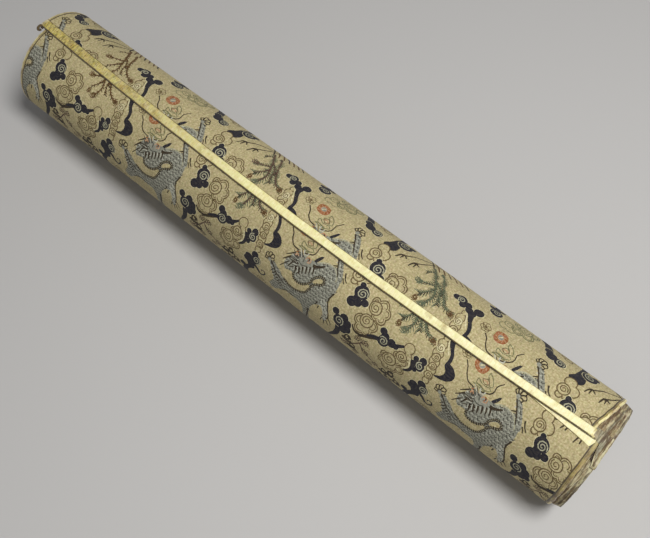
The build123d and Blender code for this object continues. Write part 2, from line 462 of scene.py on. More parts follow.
def outlined_clouds(c):
    """The clouds that are only drawn in outline."""
    c.outlined(
        "brown",
        [(226.4, 39.6, 2.2), (230.3, 39.4, 3), (232.9, 41.8, 2.7), (232.4, 45.1, 2.5), (229.6, 45.4, 2.1)],
        [(227.6, 42.2, 3.3, 1.9, 0, 1)],
        inner=1.0,
        core=[(230.4, 42.6, 2.9), (228.6, 41.6, 2.6)],
    )
    c.outlined(
        "brown",
        [(224.4, 50.9, 2.9), (230.6, 50.2, 2.9), (226, 54.3, 2.8), (229.4, 53.8, 2.8)],
        [(227.2, 49.6, 3.4, 1.9, 90, 1)],
        inner=1.0,
        core=[(227.4, 52.4, 2.8)],
    )
    c.line("dark", [(222.6, 55.3), (224.2, 57.3), (228, 57.5), (232, 55.2), (234.8, 53.2)], 0.7, 2.2)
    c.outlined("brown", [(249.9, 47.4, 2.8), (251, 50.8, 2)], width=0.45)
    c.outlined(
        "brown",
        [(250.8, 55.4, 2.4), (247.6, 56.6, 2.4), (246.2, 53.8, 1.9)],
        [(248.5, 53.1, 2.8, 1.8, 200, -1)],
        inner=0.9,
        core=[(248.6, 55.2, 1.9)],
    )
    c.outlined(
        "brown",
        [(250.1, 60.3, 2.7), (247.3, 62, 2.5), (244, 63.4, 2.5), (241.1, 61.2, 2.1), (241.2, 57.6, 1.9)],
        [(244.2, 58.6, 3.6, 1.9, 20, 1)],
        inner=0.9,
        core=[(246, 60.4, 2.6), (243, 61, 2.2)],
    )
    lobes = [(260, 33.2, 1.6), (259.9, 36.2, 2.4), (260.4, 40.6, 2.6), (261.2, 44.6, 2.6), (262, 48.2, 2.4)]
    mains = [(260.2, 38.2, 2, 1.6, 90, 1), (260.8, 42.6, 2.1, 1.6, 0, 1), (261.8, 46.6, 1.9, 1.5, 40, 1)]
    c.outlined("brown", lobes + [(262.6, 51.8, 2)], mains, width=0.45)
    c.disc("pale", 260.2, 38.2, 1.8)
    c.spiral("brown", 260.2, 38.2, 1.5, 1.4, 0.35, 90)
    c.outlined("brown", [(262.4, 54.2, 1.9)], [(262.2, 51.2, 2.1, 1.5, 0, 1)], width=0.45)
    lobes = [(214.3, 30, 3), (216.9, 33.4, 3), (216.3, 37, 2.3), (213, 38, 1.8)]
    c.outlined("brown", lobes, [(213.4, 34.9, 2.9, 1.8, 180, 1)])
    c.outlined(
        "olive",
        [(184.9, 22.6, 2.6), (189.4, 21.2, 3), (191.6, 16.6, 2.6), (184.3, 17, 2.7)],
        [(187.4, 17.8, 3.2, 1.7, 0, 1)],
        inner=0.9,
        core=[(187.4, 19, 2.6)],
    )
    c.outlined(
        "olive",
        [(275.3, 24.8, 2.2), (278.6, 24.2, 2.7)],
        [(276.9, 21.8, 2.4, 1.3, 0, 1)],
        width=0.4,
    )
    c.outlined("brown", [(208.2, 15.6, 2.2), (208.8, 11.4, 2.6)], [(205.5, 13.2, 2.7, 1.6, 0, 1)])


def hidden_clouds(c):
    """The clouds low on the front and under the roll."""
    lobes = [(181, 78, 2.4), (184, 80.2, 3.1), (187.6, 79.2, 2.2), (186, 83, 2)]
    c.cloud(lobes, (184.1, 80.3, 2.1, 1.7, 0, 1))
    c.outlined("brown", [(224.5, 80, 3), (231.3, 80.5, 2.8), (228, 83, 3)], [(228, 78.6, 3.2, 1.8, 0, 1)])
    c.cloud([(238, 81.6, 2.2), (241.8, 80.6, 2.9), (245, 83.2, 2)], (241.8, 80.8, 2, 1.7, 90, -1))
    c.outlined("brown", [(203, 82.5, 2.6), (209.3, 82.3, 2.6)], [(206, 80.4, 2.9, 1.7, 0, 1)])
    c.outlined("brown", [(263.6, 75, 2.8), (270.4, 75.8, 2.6)], [(267, 74, 3, 1.7, 180, 1)])


def scales(c, forms, bare):
    """Rows of scales over the dragon's forms, apart from its bare belly and its mane."""
    for row in range(26):
        for place in range(20):
            x = 174.6 + 1.9 * place + 0.95 * (row % 2)
            y = 33.2 + 1.75 * row + 0.3 * math.sin(x)
            near_mane = math.hypot(x - 188.3, (y - 45) * 1.1) < 6.3
            if near_mane or inside((x, y), bare) or not any(inside((x, y), form) for form in forms):
                continue
            swing = 0.3 * math.sin(x * 1.7 + y * 0.9)
            hollow = [(x - 0.7, y - 0.4 + swing), (x, y + 0.5), (x + 0.7, y - 0.3 - swing)]
            c.line("slate", hollow, 0.6, 0.35, STRAIGHT)
            c.line("steel_light", [(x - 0.6, y + 0.9), (x + 0.3, y + 1.1 + swing)], 0.55, 0.35, STRAIGHT)


def paw(c, x, y, turn):
    """A five-toed paw that points up from its wrist, turned by degrees."""
    size = 1.15
    cos, sin = math.cos(math.radians(turn)) * size, math.sin(math.radians(turn)) * size

    def at(*points):
        return [(x + px * cos - py * sin, y + px * sin + py * cos) for px, py in points]

    for out, reach in ((-165, 2.4), (-122, 3), (-84, 3.1), (-46, 3), (-8, 2.4)):
        hook = [(0, 0.5)]
        for share, bend in ((0.6, 0), (0.95, 12), (1.0, 36), (0.75, 48)):
            hook.append(around(0, 0.5, reach * share, math.radians(out + bend)))
        c.line("dark", at(*hook), 0.75, 0.5, step=0.8)
    c.disc("steel", *at((0, 0.7))[0], 0.9 * size)


def dragon(c):
    """The dragon: body and limbs, scales, belly, dark edges, paws and head, one over the other."""
    body = [(184, 43.8), (188, 42.2), (192, 42), (196.5, 40.6), (200.5, 38.9), (204.5, 38.4), (207.6, 40.8)]
    body += [(208.9, 45), (208.5, 50), (207.3, 54.5), (206, 57.8), (202.5, 60), (200.6, 63.5), (200, 70)]
    body += [(199, 78.5), (196, 78.5), (196.6, 70), (195.4, 66), (191, 65.2), (186.5, 65), (182.5, 67.8)]
    body += [(179, 71), (176.3, 68.5), (178.3, 63.5), (177, 59.5), (174.3, 55.8), (176, 54), (179.8, 55.8)]
    body += [(183, 57.2), (184.5, 54.5), (181.8, 52.8), (180.8, 49.5), (182, 46.3)]
    body = c.blob("steel", body)
    upper_limb = [(200.4, 33), (202.6, 32.8), (205, 35.4), (207.2, 38.8), (209, 42.6), (206.8, 43)]
    upper_limb += [(205.2, 40), (203.4, 37.2), (201.2, 34.8)]
    lower_limb = [(205, 54.5), (208, 55), (209.6, 59.5), (209.9, 64.5)]
    lower_limb += [(208.3, 66), (207.3, 61), (204.5, 57)]
    c.blob("steel", upper_limb)
    c.blob("steel_light", lower_limb)
    belly = [(180.5, 54.8), (183.5, 53.2), (186.3, 52.6), (187.6, 54.8), (190.5, 55.2), (193.5, 54)]
    belly += [(196.2, 52.6), (196.8, 55.5), (195, 58), (191.5, 59.6)]
    belly += [(187.5, 59.8), (183.8, 58.6), (181.5, 57)]
    scales(c, (body, upper_limb, lower_limb), belly)
    # The belly's open crescent, and the loop over it
    c.blob("ground", belly)
    loop = [(197.3, 48.8), (199.5, 46.8), (201.3, 47), (201.3, 48.4)]
    loop += [(199.3, 49.5), (198, 50.6), (197, 50.4)]
    c.blob("ground", loop)
    c.beaded([(183.5, 58.4), (187.5, 60), (191.5, 59.8), (195.2, 58), (196.9, 54.5), (197.2, 52)])
    edge = [(187, 52), (187.8, 54.6), (190.5, 55.2), (193.5, 54), (196, 51.5), (196.3, 49.5), (197.5, 47.3)]
    edge += [(199.5, 45.9), (201.5, 46.2), (202.2, 47.8), (201, 49.3), (199, 50.4), (197.3, 52.4)]
    c.beaded(edge)
    # The back's light line, and the dark edges of the limbs and the tail
    back = [(195, 41.2), (197.4, 39.6), (200.4, 38.7), (203.2, 39.2), (205.6, 41.2), (206.8, 44)]
    c.line("cream", back, 0.7, 0.5)
    for points, width, end_width in (
        ([(208.8, 48.5), (207.7, 53), (209.2, 57.5), (210.3, 60.5), (210.1, 63.5)], 0.8, 0.6),
        ([(200.4, 33.2), (202.6, 36.2), (204.4, 39), (206, 41.6)], 0.7, 0.5),
        ([(203.4, 37), (201.2, 38.4)], 0.8, 0.4),
        ([(208.2, 37.6), (209.4, 39.8), (211.2, 41.2)], 0.8, 0.4),
        ([(208.4, 40.2), (210.2, 42.4)], 0.7, 0.4),
        ([(207.6, 64.6), (207, 67.4)], 0.7, 0.4),
        ([(208.8, 65.6), (209, 68.4)], 0.7, 0.4),
        ([(209.8, 64.4), (211.4, 67.2)], 0.7, 0.4),
        ([(210.4, 62), (212.8, 65)], 0.7, 0.4),
        ([(199.6, 65.5), (199.4, 70), (197.6, 78)], 0.9, 0.7),
        ([(182.5, 67.6), (186.5, 65), (191, 65.3)], 0.5, 0.5),
        ([(203.2, 57.8), (202.8, 60)], 0.8, 0.4),
        ([(204.6, 59.2), (204.2, 61.4)], 0.8, 0.4),
        ([(173.8, 54.2), (176.2, 55.8), (179, 58.6), (182.5, 60.5), (186, 61.5)], 0.9, 0.4),
    ):
        c.line("dark", points, width, end_width)
    paw(c, 200.4, 31.4, 0)
    paw(c, 173.2, 54, -40)
    head(c)
    # The feathery left arm
    for i in range(7):
        x, y = 176.6 + 1.1 * i, 58.6 + 0.9 * i
        c.line("dark", [(x + 0.7, y - 0.9), (x - 0.9, y + 1.3)], 0.6, 0.3, STRAIGHT)


def head(c):
    """The dragon's head, over its body."""
    # The mane, in strokes fanning out from the cheek, light and dark by turns
    for i in range(27):
        angle = math.radians(96 + 4.6 * i)
        ends = (3.9 + 0.5 * math.sin(5 * i), angle), (7.5 + 1.2 * math.sin(2.3 * i), angle + 0.16)
        stroke = [(190.2 + r * math.cos(a), 45.4 + 0.9 * r * math.sin(a)) for r, a in ends]
        c.line(("dark", "steel_light", "dark", "slate")[i % 4], stroke, 0.6, 0.3, step=4)
    for i in range(6):
        x, y = 187 + 1.55 * i, 50.6 - 1.0 * i
        c.line("steel_light", [(x - 0.9, y - 1.2), (x - 0.4, y + 0.9)], 0.5, 0.4, STRAIGHT)
        c.line("dark", [(x - 0.4, y - 1.5), (x + 0.2, y), (x + 0.5, y + 1.7)], 1.0, 0.5, STRAIGHT)
    for a, b, w in (
        ((183.4, 43.6), (180, 46.8), 0.9),
        ((182.4, 46.4), (179.4, 49.9), 1.0),
        ((182.6, 49.4), (179.6, 53.6), 0.6),
        ((184.6, 48), (183.2, 51.6), 0.9),
    ):
        c.line("dark", [a, b], w, 0.4, step=STRAIGHT)
    # The snout, the eye and the brow
    snout = [(183, 44.4), (184, 42.4), (185.6, 42.6), (186.2, 44.4), (184.8, 45.6), (183.2, 44.8)]
    c.line("slate", snout, 0.45)
    c.line("rose", [(183.8, 44.6), (184.6, 43.4), (185.4, 44.2)], 0.9, 0.6)
    c.line("red", [(183.4, 43.2), (184.2, 42.4)], 0.6, 0.4)
    c.line("rose", [(189, 43.4), (189.8, 41.9), (191.4, 42.2), (191.6, 43.9), (190.2, 44.4)], 0.5)
    c.line("red", [(190, 42), (190.8, 42.6), (190.4, 43.8)], 0.75, 0.5)
    c.line("dark", [(190.6, 42.2), (190.9, 43.2)], 0.5, step=STRAIGHT)
    c.line("steel_light", [(186.4, 40.2), (187.2, 42), (188.8, 41.6), (189, 40.4)], 0.6)
    c.line("slate", [(186.6, 42.8), (188.2, 43.4), (188.6, 45.2)], 0.5)
    c.line("slate", [(186.4, 45.6), (188.6, 46.8), (191.4, 45.8)], 0.5)
    c.line("navy", [(193.2, 41.8), (193.8, 40.2), (195.4, 37.7), (194.8, 40), (193.8, 41.6)], 1.0, 0.5)
    c.line("dark", [(193.4, 43.8), (196, 43), (198.6, 40.8)], 1.5, 0.6)


def pearl(c):
    """The flaming pearl between the dragons, with its curling whisker lines."""
    x, y = 181.3, 32.3
    eighth = 0.785
    flame = [
        (x + (3.3 + 0.3 * (i % 2)) * math.cos(i * eighth), y + 3.2 * math.sin(i * eighth))
        for i in range(8)
    ]
    c.blob("red", flame)
    for i in range(9):
        angle = 2 * math.pi * i / 9
        c.line("rose", [around(x, y, 1.9, angle), around(x, y, 2.9, angle + 0.3)], 0.35, 0.25, STRAIGHT)
    c.disc("rose", x, y, 1.65)
    c.disc("steel", x, y, 1.35)
    c.line("pale", [(x - 0.7, y + 0.6), (x + 0.8, y - 0.8)], 0.5, step=STRAIGHT)
    for loop, colour in (
        ([(186.2, 32.4), (188.8, 34.2), (189.9, 37), (188.6, 37.4), (187.4, 35.4), (186, 34)], "olive"),
        ([(183.2, 37.2), (186, 38.4), (189.2, 37.8), (190.4, 38.8), (187.4, 40), (183.4, 39.2)], "olive"),
        ([(184.6, 36.4), (186.6, 35.2), (188.2, 36.6), (186.4, 37.8)], "brown"),
        ([(182.6, 40.4), (184.8, 39.4), (188.6, 40.4)], "olive"),
    ):
        c.line(colour, loop + loop[:1], 0.42)
    c.line("rose", [(185.2, 36.6), (186.6, 36.2), (187.6, 36.8)], 0.6)
    c.line("dark", [(175, 34.9), (176.9, 36.8), (178.3, 39.4), (180.6, 41.4), (184, 41.9)], 0.55, 0.6)
    c.line("dark", [(186.6, 41.6), (190.6, 40), (191.7, 37.6), (191.3, 35.6), (193.2, 32.4)], 0.65, 0.45)
    c.flower("brown", 173.6, 32.4, 2.4, petals=6)
    c.line("brown", [(171.6, 31.4), (173.4, 33.6), (175.6, 33)], 0.45)


def claws(c):
    """The long hooked sprays on the back."""
    for stalk, root, tips in (
        (
            [(238, 12), (232, 17.3), (227, 21.3), (224.5, 24.3), (222, 26.8)],
            (223, 25.6),
            ((220.4, 29.8), (222.4, 29.2), (224.8, 27.4)),
        ),
        (
            [(238, 14), (234, 18.3), (232, 22.3), (230, 24.8), (228.6, 27)],
            (229.4, 25.4),
            ((227.4, 30.4), (229.6, 29), (231.6, 26.8)),
        ),
    ):
        c.line("dark", stalk, 0.5, 0.8)
        for tip in tips:
            c.line("dark", [root, ((root[0] + tip[0]) / 2, 26.4), tip], 1.0, 0.5)


def sprig(c, stem, leaf):
    """The branching sprig, its stem and its needles in the colours of its repeat."""
    for i in range(7):
        x = 232.5 + 3 * i
        colour = "tan" if i % 3 else "dark"
        c.line(colour, [(x - 3, 8), (x + 0.6, 14), (x + 3.6, 20.4 - 0.5 * i)], 1.1, 0.7)
    branches = (
        ([(236.4, 19), (238.4, 22.6), (241.4, 27.6), (243.8, 32.4), (245.2, 37), (243.8, 41.2)], 1.2),
        ([(241, 19.5), (243.6, 23.4), (246.2, 29), (249, 33.8), (252.4, 37), (255.6, 37.8)], 1.1),
        ([(242.6, 30.4), (239.6, 31.6), (236.4, 33)], 0.8),
        ([(239, 22.4), (237, 23.6), (235.6, 25.4)], 0.7),
        ([(241.4, 27.2), (244.6, 29.8), (246.8, 33)], 0.8),
        ([(243.6, 31.8), (242, 35.4), (239.8, 38)], 0.8),
        ([(247, 30.4), (246.8, 34.4), (248.4, 37.8)], 0.7),
    )
    # Longer and closer needles where they are green, and a thicker stem where they aren't
    length, gap, dark_gap, thick = (2.6, 0.95, 1.24, 0.7) if leaf == "green" else (1.5, 1.5, 1.9, 1.0)
    for points, width in branches:
        c.needles(leaf, points, width * 0.5, length, gap)
    for points, width in branches:
        c.needles("dark", [(x + 0.13, y + 0.19) for x, y in points], 0.4, 1.5, dark_gap)
        c.line(stem, points, width * thick, width * 0.5)
    c.tuft(stem, 235.8, 33.2, 2.2)
    c.tuft(leaf, 243.2, 42, 2.4)
    c.tuft("tan", 255.8, 38, 2.3)
    c.tuft("tan", 239.6, 41, 1.8)


def lower_sprig(c):
    """The small flowering sprig low on the front."""
    c.line("plum", [(221, 69.5), (226, 66), (229, 62), (231.5, 59.5)], 0.8, 0.6)
    c.line("plum", [(229, 62), (232.5, 66), (238.5, 69)], 0.8, 0.6)
    for x, y in ((227.6, 60), (231.4, 60), (232.6, 65.6), (238.6, 69.4), (221, 70), (235.4, 73), (228, 72)):
        c.tuft("dark", x, y, 2.4)
        c.flower("plum", x, y, 1.3)
    leaves = (222.6, 64.4), (225.6, 68.2), (243.6, 69), (247.8, 67), (251, 71), (246.4, 73.6), (240.8, 76.4)
    for x, y in leaves:
        c.spiral("dark", x, y, 2, 1.3, 0.95, 40 * x)
        c.line("dark", [(x - 2.6, y + 1), (x - 0.6, y + 2.6), (x + 2.6, y + 1.4)], 2.0, 0.9)


# The sprig's stem and needles in each column of repeats, from the left
SPRIGS = (("tan", "tan"), ("tan", "tan"), ("plum", "green"), ("green", "green"), ("plum", "green"))


def repeat(sprig_colours):
    """One repeat's shapes, with its sprig's two colours."""
    c = Cell()
    navy_upper(c)
    outlined_clouds(c)
    claws(c)
    sprig(c, *sprig_colours)
    lower_sprig(c)
    hidden_clouds(c)
    pearl(c)
    dragon(c)
    navy_clouds(c)
    navy_spine(c)
    return c.shapes


def placed(x, y, column, row):
    """A point of a repeat in the sheet's flat coordinates.

    The cloth was wound a little out of true: towards the right end its front lies
    lower, and the back is a little to the left. Both fade out round the roll. The
    figure is also off by a thread or so here and there, as hand weaving is.
    """
    along = x + REPEAT_ALONG * (column - DRAWN_COLUMN)
    way_round = y - REPEAT_ROUND * row
    back, low = round_of(BACK_ANGLE), round_of(FRONT_ANGLE)
    front = min(max((back - way_round) / (back - low), 0), 1)
    slip = SINK * max(0, along - SINK_START) ** 2 - FRONT_LIFT
    spot = Vector((along, way_round, 0))
    off = noise.noise_vector(spot / THREAD_DRIFT[0]) * THREAD_DRIFT[1]
    off += noise.noise_vector(spot / CLOTH_DRIFT[0]) * CLOTH_DRIFT[1]
    across = along - (1 - front) + between(STRETCH, along)
    return across + PATTERN_LEFT + off.x, way_round + front * slip + off.y


# The sheet's division: how near two points may be, how far a border may be thinned, by what
# area a shape may pass its own outline, and the loose net's steps
MERGE_DISTANCE = 0.004
BORDER_TOLERANCE = 0.05
SPILT_AREA = 1.0
NET_STEP = (3.2, 1.5)
# What delaunay_2d_cdt is asked for: the divided inside of the outlines
INSIDE = 1
# The points on the sheet's outline: their number along a seam, and their distance on a rim
SEAM_POINTS = 160
RIM_STEP = 2.0

PALETTE = ["ground", "pale", "navy", "dark", "steel", "steel_light", "slate", "brown", "olive"]
PALETTE += ["cream", "red", "rose", "green", "plum", "tan"]


def sheet_outline():
    """The figured cloth's edge in flat coordinates, between the bindings."""
    left, right = RIM_LEFT + RIM_BAND, RIM_RIGHT - RIM_BAND
    along = [left + (right - left) * i / SEAM_POINTS for i in range(SEAM_POINTS + 1)]
    top = round_of(leading_angle(left)), round_of(leading_angle(right))
    bottom = round_of(trailing_angle(left)), round_of(trailing_angle(right))

    def rim(x, start, end, lean):
        """Down or up a rim, between its corners."""
        count = round(abs(end - start) / RIM_STEP)
        ways = [start + (end - start) * i / count for i in range(1, count)]
        return [(x + lean(angle_of(way)), way) for way in ways]

    def seam(angle_at, start, end):
        """Along a seam, from the leaning rim at one end to that at the other."""
        points = []
        for x in along:
            share = (x - left) / (right - left)
            leaning = x + start + (end - start) * share
            points.append((leaning, round_of(angle_at(leaning))))
        return points

    front = seam(leading_angle, rim_lean(leading_angle(left)), right_lean(leading_angle(right)))
    back = seam(trailing_angle, rim_lean(trailing_angle(left)), right_lean(trailing_angle(right)))
    right_rim = rim(right, bottom[1], top[1], right_lean)
    return back + right_rim + front[::-1] + rim(left, top[0], bottom[0], rim_lean)


def painted(outline):
    """The sheet and all the repeats' shapes on it, as flat points, polygons and colours."""
    points = [Vector(p) for p in outline]
    faces = [list(range(len(points)))]
    colours = ["ground"]
    low_x, high_x, low_y, high_y = extent(points)
    for column, sprig_colours in zip(REPEATS, SPRIGS):
        shapes = repeat(sprig_colours)
        for row in REPEATS:
            for colour, polygon in shapes:
                spots = [placed(x, y, column, row) for x, y in polygon]
                left, right, bottom, top = extent(spots)
                if right < low_x or left > high_x or top < low_y or bottom > high_y:
                    continue
                first = len(points)
                points += [Vector(p) for p in spots]
                faces.append(list(range(first, first + len(spots))))
                colours.append(colour)
    return points, faces, colours


def thinned(run, tolerance):
    """The points of a run that it needs to keep its shape."""
    if len(run) < 3:
        return run
    a, b = run[0], run[-1]
    length = (b - a).length
    far, at = -1.0, 0
    for i, p in enumerate(run[1:-1], 1):
        if length > 1e-6:
            off = abs((b.x - a.x) * (p.y - a.y) - (b.y - a.y) * (p.x - a.x)) / length
        else:
            off = (p - a).length
        if off > far:
            far, at = off, i
    if far < tolerance:
        return [a, b]
    return thinned(run[: at + 1], tolerance)[:-1] + thinned(run[at:], tolerance)


def runs_of(edges):
    """The edges joined into runs of indices that end where more than two meet."""
    near = {}
    for a, b in edges:
        near.setdefault(a, []).append(b)
        near.setdefault(b, []).append(a)
    left = set(edges)
    runs = []

    def follow(a, b):
        run = [a, b]
        left.discard((min(a, b), max(a, b)))
        while len(near[run[-1]]) == 2 and run[-1] != run[0]:
            one, other = near[run[-1]]
            following = other if one == run[-2] else one
            left.discard((min(run[-1], following), max(run[-1], following)))
            run.append(following)
        return run

    for a in sorted(near):
        if len(near[a]) != 2:
            for b in near[a]:
                if (min(a, b), max(a, b)) in left:
                    runs.append(follow(a, b))
    while left:
        runs.append(follow(*min(left)))
    return runs


def drawn_sheet(outline):
    """The sheet cut by every shape on it: flat points, triangles, and the colour that shows on each."""
    points, faces, colours = painted(outline)
    drawn = delaunay_2d_cdt(points, [], faces, INSIDE, MERGE_DISTANCE, True)
    spots, triangles, sources = drawn[0], drawn[2], drawn[5]
    # A shape that the division lets spill past its own outline is left out
    covered = [0.0] * len(faces)
    for (a, b, c), source in zip(triangles, sources):
        for index in source:
            covered[index] += flat_area([spots[a], spots[b], spots[c]])
    own = [flat_area([points[k] for k in face]) for face in faces]
    spilt = {i for i in range(1, len(faces)) if covered[i] > own[i] + SPILT_AREA}
    shown = [colours[max(set(source) - spilt)] if 0 in source else None for source in sources]
    return spots, triangles, shown


def cut_sheet():
    """Divides the flat sheet by the pattern. Returns its flat points and (triangle, colour) pairs."""
    outline = sheet_outline()
    spots, triangles, shown = drawn_sheet(outline)
    sides = {}
    for corners, colour in zip(triangles, shown):
        for a, b in pairs(corners):
            sides.setdefault((min(a, b), max(a, b)), set()).add(colour)
    # The colours' borders alone, with no more points than they need, divide the sheet
    borders = [edge for edge, found in sides.items() if len(found) == 2 and None not in found]
    points, edges = [Vector(p) for p in outline], []
    for run in runs_of(borders):
        line = [spots[i] for i in run]
        if run[0] == run[-1]:
            half = len(line) // 2
            line = thinned(line[: half + 1], BORDER_TOLERANCE)[:-1] + thinned(line[half:], BORDER_TOLERANCE)
        else:
            line = thinned(line, BORDER_TOLERANCE)
        first = len(points)
        points += line
        edges += [(first + k, first + k + 1) for k in range(len(line) - 1)]
    # Loose points between them keep the cloth round
    low_x, high_x, low_y, high_y = extent(outline)
    along, up = NET_STEP
    for j in range(1, int((high_y - low_y) / up)):
        for i in range(1, int((high_x - low_x) / along)):
            points.append(Vector((low_x + along * (i + 0.5 * (j % 2)), low_y + up * j)))
    whole = [list(range(len(outline)))]
    divided = delaunay_2d_cdt(points, edges, whole, INSIDE, MERGE_DISTANCE, True)
    flat = divided[0]
    atlas = BVHTree.FromPolygons([(p.x, p.y, 0) for p in spots], [tuple(t) for t in triangles])
    kept = []
    for corners, source in zip(divided[2], divided[5]):
        if not source:
            continue
        middle = (flat[corners[0]] + flat[corners[1]] + flat[corners[2]]) / 3
        index = atlas.ray_cast((middle.x, middle.y, 1), (0, 0, -1))[2]
        colour = shown[index] if index is not None else None
        kept.append((tuple(corners), colour or "ground"))
    return flat, kept


def rim_loop(triangles):
    """The sheet's edge as a ring of point indices, in the triangles' own direction."""
    # Each side once, in the order in which they come
    sides = dict.fromkeys(side for corners in triangles for side in pairs(corners))
    follows = {a: b for a, b in sides if (b, a) not in sides}
    start = next(iter(follows))
    loop = [start]
    while follows[loop[-1]] != start:
        loop.append(follows[loop[-1]])
    return loop


# The inner face's loose net: its steps, how far it starts and stays from the edge's box, and
# how far each point keeps from the edge
INNER_STEP = (12, 2.4)
INNER_START = (4, 2)
INNER_MARGIN = 2
INNER_CLEAR = 1.2
INNER_MERGE = 0.0001
# Where the weave's flat coordinates of the inner face lie, beside the outer face's
INNER_FLAT_Z = 0.05


def inner_face(rim):
    """Divides the inner face: the same edge, and a coarser net of points."""
    edge = [tuple(p) for p in rim]
    low_x, high_x, low_y, high_y = extent(rim)
    near = ((INNER_CLEAR, 0), (-INNER_CLEAR, 0), (0, INNER_CLEAR), (0, -INNER_CLEAR))
    net = []
    x = low_x + INNER_START[0]
    while x < high_x - INNER_MARGIN:
        y = low_y + INNER_START[1]
        while y < high_y - INNER_MARGIN:
            if all(inside((x + dx, y + dy), edge) for dx, dy in near):
                net.append(Vector((x, y)))
            y += INNER_STEP[1]
        x += INNER_STEP[0]
    divided = delaunay_2d_cdt(rim + net, [], [list(range(len(rim)))], INSIDE, INNER_MERGE, True)
    kept = [corners for corners, source in zip(divided[2], divided[5]) if source]
    return divided[0], kept, divided[3]


def make_cover(materials):
    """The figured silk: its outer face divided by the pattern, a plain inner face and the edge between."""
    flat, kept = cut_sheet()
    used = sorted({i for corners, _ in kept for i in corners})
    number = {old: new for new, old in enumerate(used)}
    flat = [flat[i] for i in used]
    kept = [(tuple(number[i] for i in corners), colour) for corners, colour in kept]
    loop = rim_loop([corners for corners, _ in kept])
    rim = [flat[i] for i in loop]
    inner_spots, inner_kept, inner_sources = inner_face(rim)
    places, normals = [], []
    for p in flat:
        spot, out = on_turn(p.x, angle_of(p.y))
        places.append(spot)
        normals.append(out)
    base = len(places)
    inner_of = {}
    for i, p in enumerate(inner_spots):
        spot, out = on_turn(p.x, angle_of(p.y), COVER_THICKNESS)
        places.append(spot)
        normals.append(-out)
        inner_of.update((source, base + i) for source in inner_sources[i] if source < len(rim))
    # Seen from outside, the way round runs down where the flat sheet's runs up
    faces = [corners[::-1] for corners, _ in kept]
    colours = [PALETTE.index(colour) for _, colour in kept]
    faces += [tuple(base + i for i in corners) for corners in inner_kept]
    rounded = len(faces)
    for k, (a, b) in enumerate(pairs(loop)):
        faces.append((a, b, inner_of[(k + 1) % len(loop)], inner_of[k]))
    colours += [0] * (len(faces) - len(kept))
    mesh = bpy.data.meshes.new("brocade")
    mesh.from_pydata(places, [], faces)
    for name in PALETTE:
        mesh.materials.append(materials[name])
    mesh.polygons.foreach_set("material_index", colours)
    mesh.polygons.foreach_set("use_smooth", [True] * len(faces))
    add_flat_maps(mesh, flat, inner_spots, len(kept))
    # The faces are as round as the turn that they lie on, and the edge between them is flat
    corner_normals = []
    for face in mesh.polygons:
        for corner in face.vertices:
            corner_normals.append(normals[corner] if face.index < rounded else face.normal.copy())
    mesh.normals_split_custom_set(corner_normals)
    return linked("brocade", mesh)


def add_flat_maps(mesh, outer, inner, outer_faces):
    """The mesh's flat coordinates for the weave, and its map for baking, the inner face above the outer."""
    low_x, high_x, low_y, _ = extent(outer)
    spots = [*outer, *inner]
    values = []
    for i, p in enumerate(spots):
        values += [p.x * MM, p.y * MM, 0.0 if i < len(outer) else INNER_FLAT_Z]
    mesh.attributes.new("flat", "FLOAT_VECTOR", "POINT").data.foreach_set("vector", values)
    margin = 0.01
    span = (high_x - low_x) * (1 + 2 * margin)
    uv = []
    for face in mesh.polygons:
        lift = 0.0 if face.index < outer_faces else 0.5
        for corner in face.vertices:
            p = spots[corner]
            uv += [margin + (p.x - low_x) / span, margin + lift + (p.y - low_y) / span * 0.8]
    mesh.uv_layers.new(name="OFBake").data.foreach_set("uv", uv)


# The bindings and the wound sheet
# How deep the underside of a binding lies in the cloth
SUNK = 0.95


def waver(*place, scale, size, seed):
    """A smooth irregularity at a place, from -size to size."""
    spot = Vector((*place, 0.0, 0.0)[:3]) / scale
    return noise.noise(spot + Vector((seed, 2 * seed, 3 * seed))) * size


class Skin:
    """The points and faces of one mesh, gathered sweep by sweep."""

    def __init__(self):
        self.points, self.faces, self.slots = [], [], []

    def sweep(self, rings, bands, cap):
        """A closed skin through rings of points, with the slots of a ring's sides and of its end caps."""
        first, count = len(self.points), len(bands)
        for ring in rings:
            self.points += ring
        for i in range(len(rings) - 1):
            for k in range(count):
                a, b = first + i * count + k, first + i * count + (k + 1) % count
                self.faces.append((a, b, b + count, a + count))
                self.slots.append(bands[k])
        last = first + (len(rings) - 1) * count
        self.faces += [tuple(range(first, first + count)), tuple(range(last, last + count))]
        self.slots += [cap, cap]

    def make(self, name, materials):
        """The piece, smooth but for edges of over 40 degrees."""
        mesh = bpy.data.meshes.new(name)
        mesh.from_pydata(self.points, [], self.faces)
        for material in materials:
            mesh.materials.append(material)
        mesh.polygons.foreach_set("material_index", self.slots)
        shape = bmesh.new()
        shape.from_mesh(mesh)
        bmesh.ops.recalc_face_normals(shape, faces=shape.faces)
        shape.to_mesh(mesh)
        shape.free()
        mesh.polygons.foreach_set("use_smooth", [True] * len(mesh.polygons))
        mesh.set_sharp_from_angle(angle=math.radians(40))
        return linked(name, mesh)


def on_top(x, y, centre_z, radius):
    """The point at x and y on the upper side of a round layer, in metres."""
    z = centre_z + math.sqrt(radius**2 - (y - AXIS_Y) ** 2)
    return Vector((x * MM, y * MM, z * MM))


